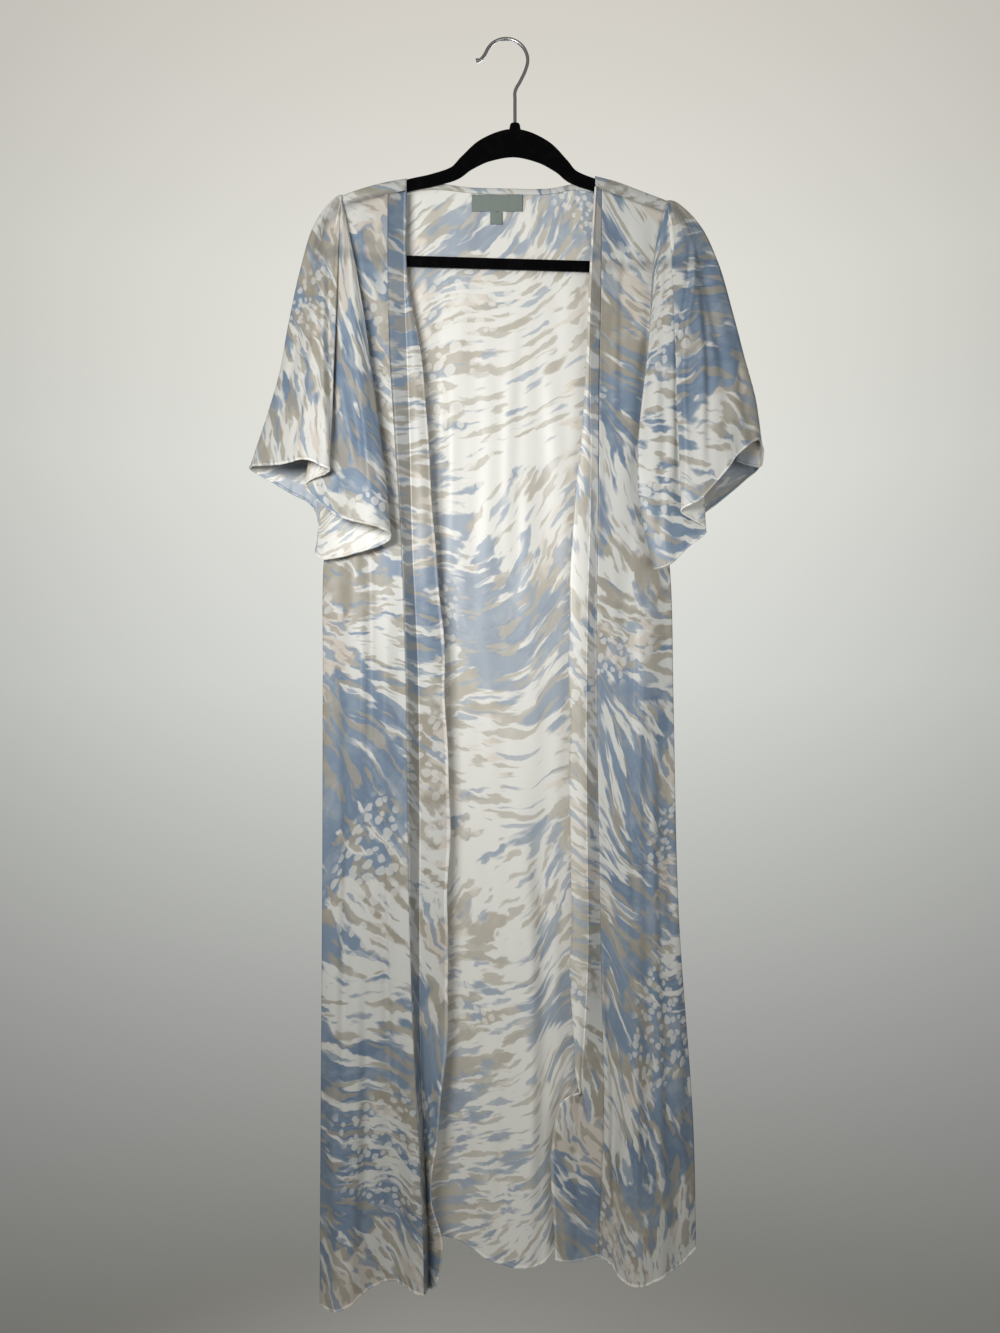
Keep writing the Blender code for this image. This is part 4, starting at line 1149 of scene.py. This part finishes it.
def sewn(name, node, grid, uv, thick, materials, outward, kept=None, closed=False, slots=None):
    """A cloth piece that stands for its CAD node: a thin shell, thicker where it is rolled."""
    rows, wide = grid.shape[:2]
    cells = wide if closed else wide - 1
    i, j = np.meshgrid(np.arange(rows - 1), np.arange(cells), indexing="ij")
    if kept is not None:
        i, j = i[kept], j[kept]
    i, j = i.ravel(), j.ravel()
    corners = ((i, j), (i, j + 1), (i + 1, j + 1), (i + 1, j))
    if outward < 0:
        corners = corners[::-1]
    ids = np.stack([a * wide + b % wide for a, b in corners], axis=1)
    corner_uv = np.stack([uv[a, b] for a, b in corners], axis=1)
    used, faces = np.unique(ids, return_inverse=True)
    faces = faces.reshape(ids.shape)
    if slots is not None:
        slots = np.broadcast_to(slots, (rows - 1, cells))[i, j]
    points = grid.reshape(-1, 3)[used]
    made = piece(name, points, faces.tolist(), materials, corner_uv, slots)
    group = made.vertex_groups.new(name="thick")
    weights = np.round(np.clip(np.asarray(thick).reshape(-1)[used] / ROLL, 0, 1), 3)
    for level in np.unique(weights):
        group.add(np.flatnonzero(weights == level).tolist(), float(level), "REPLACE")
    wall = made.modifiers.new("cloth", "SOLIDIFY")
    wall.thickness = ROLL * MM
    wall.offset = 0.0
    wall.use_rim = True
    wall.vertex_group = "thick"
    wall.thickness_vertex_group = 0.0
    wall.material_offset = BACK_SLOT
    # Sheer pieces take painted shade where the dark hanger lies behind them
    if node in SHEER:
        show_hanger(made, points)
    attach(made, "root")
    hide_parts(node)
    return made


def hem_slots(hem_far):
    """The material of each cell: the rolled edge's within its width of the hem."""
    return np.where(hem_far[:-1] < ROLL_WIDE, HEM_SLOT, 0)


def panel_fade(across, down):
    """1 in the middle of a panel, falling to 0 at its seams."""
    sides = np.clip(across / FADE_OUTER, 0, 1) * np.clip((1 - across) / FADE_INNER, 0, 1)
    return sides * np.clip(down / FADE_TOP, 0, 1)


def tilted(points):
    """Points of the hanger, set at its place and hung a little askew."""
    x, y, z = np.asarray(points, float).T
    sin, cos = math.sin(HANGER_TILT), math.cos(HANGER_TILT)
    up = z + HANGER_PIVOT
    return np.stack([HANGER_X + x * cos + up * sin, y, up * cos - x * sin - HANGER_PIVOT], axis=-1)


def hanger_line():
    """Points all the way along the hanger's bar, before it leans, and its height at each."""
    half = np.asarray(HANGER, float)
    loop = np.concatenate([half, half[-2:0:-1] * (-1, 1, 1)])
    count = len(loop)
    wrapped = np.concatenate([loop[-2:], loop, loop[:3]])
    places = np.linspace(0, count, count * HANGER_STEPS, endpoint=False)
    x, drop, high = smooth(np.arange(-2, count + 3), wrapped, places).T
    return np.stack([x, np.zeros(len(x)), -drop], axis=-1), high


def mark_painted_shade(made, shares):
    """Tells the satin how much painted shade each point takes: where the dark hanger lies behind,
    and on the left band's doubled strip.
    """
    layer = made.data.attributes.new("painted_shade", "FLOAT", "POINT")
    layer.data.foreach_set("value", shares)


def show_hanger(made, points):
    """Marks, from 0 to 1, the painted shade on the points of a sheer piece that the dark hanger
    lies behind.
    """
    bar, heights = hanger_line()
    near = np.full(len(points), FAR)
    for (x, _, z), high in zip(tilted(bar), heights):
        near = np.minimum(near, np.hypot(points[:, 0] - x, points[:, 2] - z) - high / 2)
    mark_painted_shade(made, np.clip(0.5 - near / SHOWS_SOFT, 0, 1))


def make_front(side, shape, lines, laps, outward, materials):
    name = "front_" + side
    shares = np.linspace(0, 1, FRONT_CELLS[0] + 1)
    across, down = np.meshgrid(shares, down_shares(FRONT_CELLS[1]))
    fade = panel_fade(across, down)
    grid = lapped(creased(front_grid(*shape, across, down), lines, fade), laps, fade)
    hem_far = from_end(grid)
    grid = puckered(grid, hem_far)
    seam = SEAM_EXTRA * np.exp(-((down * PANEL_LENGTH / SEAM_REACH) ** 2))
    thick = np.maximum(rolled(hem_far), CLOTH + seam)
    uv = on_cloth(grid, ON_CLOTH[name], middle=FRONT_CELLS[0])
    slots = hem_slots(hem_far)[:, :-1]
    return sewn("coat_" + name, name, grid, uv, thick, materials, outward, slots=slots)


def make_fronts(materials):
    right = (OUTER_RIGHT, EDGE_RIGHT, SHOULDER_RIGHT, FOLDS_RIGHT, DEPTHS_RIGHT, HEM_RIGHT)
    left = (OUTER_LEFT, EDGE_LEFT, SHOULDER_LEFT, FOLDS_LEFT, DEPTHS_LEFT, HEM_LEFT)
    return [
        make_front("right", right, CREASES_RIGHT, LAPS_RIGHT, -1, materials),
        make_front("left", left, CREASES_LEFT, LAPS_LEFT, 1, materials),
    ]


def make_band(side, edge, shoulder, hem, inward, materials):
    """A front band. The left one's turned-out half ends in a point and lies flat below it."""
    name = "band_" + side
    shares = band_shares(BAND_CELLS[0])
    grid = band_grid(edge, shoulder, hem, inward, shares)
    drop = -grid[..., 2]
    free = np.clip(shares - 1, 0, 1)
    wave = waves(drop, WAVE_LONG, waves(drop, WAVE_DRIFT)) + waves(drop, WAVE_SHORT, inward)
    low = np.clip((drop - BAND_LOOSE[0]) / BAND_LOOSE[1], 0, 1)
    grid[..., 0] += wave * WAVE_ASIDE * free**2 * low * inward
    grid[..., 1] += wave * WAVE_OUT * free * low - BAND_BULGE * np.sin(math.pi * free)
    twists = side == "left"
    if twists:
        reach = np.where(drop < TWIST_DROP, TWIST_ABOVE, TWIST_BELOW)
        swing = np.exp(-np.abs(drop - TWIST_DROP) / reach) * free
        grid[..., 0] += TWIST_SWING * swing
        grid[..., 1] -= TWIST_NEARER * swing * (drop < TWIST_DROP)
    hem_far = from_end(grid)
    edge_far = np.linalg.norm(grid - grid[:, -1:], axis=-1)
    thick = np.maximum(rolled(hem_far), rolled(edge_far, EDGE_ROLL, EDGE_WIDE))
    uv = on_cloth(grid, ON_CLOTH[name], middle=0)
    # The right band's strip takes the material with deeper painted shade; the left one's takes its
    # painted shade from the attribute below
    turned, strip = (TURNED_SLOT, 0) if twists else (0, STRIP_SLOT)
    slots = np.where(shares[:-1] >= CREASE_SHARE, turned, strip)[None, :]
    pressed = np.abs(shares[:-1] - PRESSED[0]) < PRESSED[1]
    if twists:
        below = drop[:-1, :-1] > TWIST_DROP
        slots = np.where(below, 0, slots)
        pressed = pressed & ~below
    # Pressed crease, finished edge and hem take the hem material's painted highlight
    edges = pressed | (shares[1:] > BAND_EDGE) | (hem_far[:-1, :-1] < ROLL_WIDE)
    slots = np.where(edges, HEM_SLOT, slots)
    made = sewn("coat_" + name, name, grid, uv, thick, materials, -inward, slots=slots)
    if twists:
        # Painted shade on the left band's doubled strip, fading out above its point
        shade = np.clip((TWIST_DROP - drop) / TWIST_FADE, 0, 1) * (shares < CREASE_SHARE)
        mark_painted_shade(made, TWIST_SHADE * shade.ravel())
    return made


def make_bands(materials):
    return [
        make_band("right", EDGE_RIGHT, SHOULDER_RIGHT, BAND_HEM_RIGHT, 1, materials),
        make_band("left", EDGE_LEFT, SHOULDER_LEFT, BAND_HEM_LEFT, -1, materials),
    ]


def make_back(materials):
    shares = back_shares()
    grid, kept = back_grid(shares)
    down = np.concatenate([np.zeros(WRAP_ROWS), down_shares(BACK_DOWN_CELLS)])
    fade = panel_fade(*np.meshgrid(shares, down))
    grid = lapped(creased(grid, CREASES_BACK, fade), LAPS_BACK, fade)
    main = grid[WRAP_ROWS:]
    hem_far = np.full(grid.shape[:2], FAR)
    hem_far[WRAP_ROWS:] = from_end(main)
    grid[WRAP_ROWS:] = puckered(main, hem_far[WRAP_ROWS:])
    thick = rolled(hem_far)
    thick[0] = CLOTH + WRAP_EXTRA
    uv = on_cloth(grid, ON_CLOTH["back"], middle=BACK_SHOULDER_CELLS)
    uv[..., 1] += run_along(grid[:WRAP_ROWS, 0])[-1] * MM
    slots = hem_slots(hem_far)[:, :-1]
    return sewn("coat_back", "back", grid, uv, thick, materials, 1, kept=kept, slots=slots)


def make_sleeve(side, table, outer, hand, lines, laps, layer, materials):
    name = "sleeve_" + side
    grid = sleeve_grid(table, outer, hand)
    middle = grid.mean(axis=1, keepdims=True)
    outward = 1 if ((grid - middle) * normals_of(grid, True)).sum() > 0 else -1
    grid = sleeve_creased(grid, lines, len(table), outward)
    place = np.arange(grid.shape[1]) / SLEEVE_CELLS_A_FOLD
    outer_layer = np.clip(place - layer[0], 0, 1) * np.clip(layer[1] - place, 0, 1)
    grid = lapped(grid, laps, outer_layer)
    hem_far = from_end(grid)
    grid = puckered(grid, hem_far, closed=True)
    uv = on_cloth(grid, ON_CLOTH[name], closed=True)
    slots, thick = hem_slots(hem_far), rolled(hem_far)
    return sewn("coat_" + name, name, grid, uv, thick, materials, outward, closed=True, slots=slots)


def make_sleeves(materials):
    right = (CREASES_SLEEVE_RIGHT, LAPS_SLEEVE_RIGHT, OUTER_LAYER_RIGHT, materials)
    left = (CREASES_SLEEVE_LEFT, LAPS_SLEEVE_LEFT, OUTER_LAYER_LEFT, materials)
    return [
        make_sleeve("right", SLEEVE_RIGHT, OUTER_RIGHT, -1, *right),
        make_sleeve("left", SLEEVE_LEFT, OUTER_LEFT, 1, *left),
    ]


def make_neck(materials):
    """The narrow neck band: a strip with a rounded face along the back neckline."""
    ends = RIDGE_RIGHT[-1][0] + NECK_BAND_END, RIDGE_LEFT[0][0] - NECK_BAND_END
    across = np.linspace(*ends, NECK_BAND_CELLS[0] + 1)
    x, share = np.meshgrid(across, np.linspace(0, 1, NECK_BAND_CELLS[1] + 1))
    rounded = NECK_BAND_ROUND[0] * np.sin(math.pi * share) ** NECK_BAND_ROUND[1]
    ripple = waves(x, NECK_BAND_RIPPLE, waves(x, NECK_BAND_DRIFT))
    y = DEPTHS_BACK[0][1] - NECK_BAND_OUT - rounded + ripple
    grid = np.stack([x, y, -back_top(x) - share * NECK_BAND_DEEP], axis=-1)
    uv = on_cloth(grid, ON_CLOTH["neck_band"])
    return sewn("coat_neck_band", "neck_band", grid, uv, np.full(x.shape, CLOTH), materials, -1)


def make_labels(cloth):
    made = []
    for name, (place, cells) in (("neck_label", NECK_LABEL), ("size_tab", SIZE_TAB)):
        grid = on_back(*place, cells)
        across, down = np.meshgrid(*[np.linspace(0, 1, count + 1) for count in cells])
        bow = LABEL_BOW[0] * np.sin(math.pi * across) ** LABEL_BOW[1]
        ripple = LABEL_RIPPLE[0] * np.sin(across * LABEL_RIPPLE[1])
        grid[..., 1] -= (bow + ripple) * down
        ends = np.minimum(across, 1 - across) < LABEL_SIDES
        edge = ends if name == "neck_label" else down > TAB_END
        thick = LABEL_THICK + LABEL_EDGE * edge
        uv = on_cloth(grid, (0.0, 0.0, 1))
        made.append(sewn(name + "_woven", name, grid, uv, thick, [cloth] * (BACK_SLOT + 1), -1))
    return made


def make_hanger(pile):
    """The flocked loop and its collar, finer than their solid."""
    centre, high = hanger_line()
    along = np.roll(centre, -1, axis=0) - np.roll(centre, 1, axis=0)
    along /= np.linalg.norm(along, axis=1)[:, None]
    upward = np.stack([-along[:, 2], np.zeros(len(along)), along[:, 0]], axis=-1)
    turns = np.linspace(0, 2 * math.pi, HANGER_AROUND, endpoint=False)
    bulge, depth = [np.sign(w) * np.abs(w) ** HANGER_SQUARE for w in (np.cos(turns), np.sin(turns))]
    points = centre[:, None] + upward[:, None] * (bulge * high[:, None] / 2)[..., None]
    points[:, :, 1] += depth * HANGER_THICK / 2
    rings = np.arange(points[..., 0].size).reshape(points.shape[:2]).tolist()
    faces = []
    for ring, after in zip(rings, rings[1:] + rings[:1]):
        faces += quads(ring, after)
    body = piece("hanger_loop", tilted(points.reshape(-1, 3)), faces, [pile])
    collar = lathe("hanger_collar", COLLAR, COLLAR_SIDES, pile, HOOK_STEM_X, COLLAR_FLATNESS)
    for made in (body, collar):
        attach(made, "root")
        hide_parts("hanger_body")


def quads(upper, lower):
    """Faces between two rings of points."""
    return list(zip(upper, lower, lower[1:] + lower[:1], upper[1:] + upper[:1]))


def lathe(name, profile, sides, made, centre=0.0, flatness=1.0):
    """A turned shape about an upright at centre: radius and drop down its side."""
    points, faces, rings = [], [], []
    for radius, drop in profile:
        turns = [2 * math.pi * side / sides for side in range(sides if radius else 1)]
        rings.append(list(range(len(points), len(points) + len(turns))))
        for turn in turns:
            deep = radius * math.sin(turn) * flatness
            points.append((centre + radius * math.cos(turn), deep, -drop))
    for upper, lower in zip(rings, rings[1:]):
        if len(upper) == 1:
            faces += [(upper[0], a, b) for a, b in zip(lower, lower[1:] + lower[:1])]
        elif len(lower) == 1:
            faces += [(a, lower[0], b) for a, b in zip(upper, upper[1:] + upper[:1])]
        else:
            faces += quads(upper, lower)
    return piece(name, points, faces, [made])


def make_hook(wire):
    """The wire hook: a stem, an open crown and a rounded tip."""
    middle = -(HOOK_RADIUS - WIRE / 2)
    path = [(HOOK_STEM_X, SEAM_GAP - COLLAR_TOP)]
    path += [(x, -drop) for x, drop in HOOK_NECK]
    for degrees in range(*HOOK_TURN):
        turn = math.radians(degrees)
        path.append((HOOK_RADIUS * math.cos(turn), middle + HOOK_RADIUS * math.sin(turn)))
    path += [(x, -drop) for x, drop in HOOK_TIP]
    curve = bpy.data.curves.new("hook_wire", "CURVE")
    curve.dimensions = "3D"
    curve.bevel_depth = WIRE / 2 * MM
    curve.bevel_resolution, curve.resolution_u = HOOK_FINE
    curve.use_fill_caps = True
    line = curve.splines.new("BEZIER")
    line.bezier_points.add(len(path) - 1)
    for point, (x, z) in zip(line.bezier_points, path):
        point.co = (x * MM, 0.0, z * MM)
        point.handle_left_type = "AUTO"
        point.handle_right_type = "AUTO"
    line.bezier_points[-1].radius = HOOK_TIP_SIZE
    curve.materials.append(wire)
    made = linked("hook_wire", curve)
    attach(made, "root")
    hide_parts("hanger_hook")


def make_stage():
    """A pale floor that fades out, well below the hem."""
    made = material("pale floor", lambda n: {"Base Color": linear(FLOOR), "Roughness": 0.8})
    n = Nodes(made.node_tree)
    flat = n.put("SeparateXYZ", {0: n.place()})
    squares = [n.calc("POWER", side, 2.0) for side in flat.outputs[:2]]
    clear = n.step(n.calc("SQRT", n.calc("ADD", *squares)), *FLOOR_FADES)
    ends = n.tree.nodes["Principled BSDF"].outputs[0], n.put("BsdfTransparent").outputs[0]
    blend = n.put("MixShader", {0: clear, 1: ends[0], 2: ends[1]})
    n.join(n.tree.nodes["Material Output"], {0: blend.outputs[0]})
    sides, rings = FLOOR_CELLS
    profile = [(FLOOR_REACH * ring / rings, FLOOR_DROP) for ring in range(rings + 1)]
    lathe("floor", profile, sides, made)


def area_light(name, place, target, size, watts, colour):
    light = bpy.data.lights.new(name, "AREA")
    light.shape = "RECTANGLE"
    light.size, light.size_y = size
    light.energy = watts
    light.color = colour
    made = linked(name, light)
    made.location = place
    aim = Vector(target) - Vector(place)
    made.rotation_euler = aim.to_track_quat("-Z", "Y").to_euler()
    made.visible_camera = False


def make_light():
    """A pale room, brightest level with the coat's chest, a soft key above left, and a like
    pair of lights behind."""
    world = bpy.data.worlds.new("pale room")
    bpy.context.scene.world = world
    world.use_nodes = True
    n = Nodes(world.node_tree)
    xyz = n.put("SeparateXYZ", {0: n.put("TexCoord").outputs["Generated"]})
    height = n.put("MapRange", {0: xyz.outputs[2], 1: -ROOM_RISE, 2: ROOM_RISE}).outputs[0]
    ramp = n.put("ValToRGB", {0: height})
    stops = ramp.color_ramp.elements
    for stop, (share, colour) in zip(stops, (ROOM[0], ROOM[-1])):
        stop.position, stop.color = share, linear(colour)
    for share, colour in ROOM[1:-1]:
        stops.new(share).color = linear(colour)
    aside = n.times(n.calc("POWER", xyz.outputs[0], 2.0), ROOM_FALLS)
    level = n.calc("MAXIMUM", n.calc("SUBTRACT", 1.0, aside), ROOM_LEAST)
    seen = n.put("LightPath").outputs["Is Camera Ray"]
    share = n.put("MapRange", {0: seen, 3: ROOM_LIGHT, 4: 1.0}).outputs[0]
    n.join(n.tree.nodes["Background"], {0: ramp.outputs[0], 1: n.times(level, share)})
    for name, light in LIGHTS.items():
        area_light(name, *light)


def make_camera():
    data = bpy.data.cameras.new("photo view")
    data.sensor_width = CAMERA_SENSOR
    data.lens = CAMERA_LENS
    made = linked("photo view", data)
    made.location = CAMERA_PLACE
    made.rotation_euler = (math.pi / 2, 0.0, 0.0)
    bpy.context.scene.camera = made
    bpy.context.scene.view_settings.view_transform = "Standard"


def build():
    outside = satin("printed satin outside", OUTSIDE_SHADE)
    inside = satin("printed satin inside", INSIDE)
    make_camera()
    make_light()
    make_stage()
    hem = material("rolled satin edge", hem_satin)
    strip = satin("printed satin strip shade", STRIP_SHADE)
    satins = [outside, inside, hem, strip, inside, outside, hem, strip]
    cloth = make_fronts(satins) + make_bands(satins)
    cloth += [make_back(satins), *make_sleeves(satins), make_neck(satins)]
    for made in make_labels(material("woven label ground", woven)):
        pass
    make_hanger(material("black flock pile", flock))
    make_hook(material("plated hook wire", plating))


build()
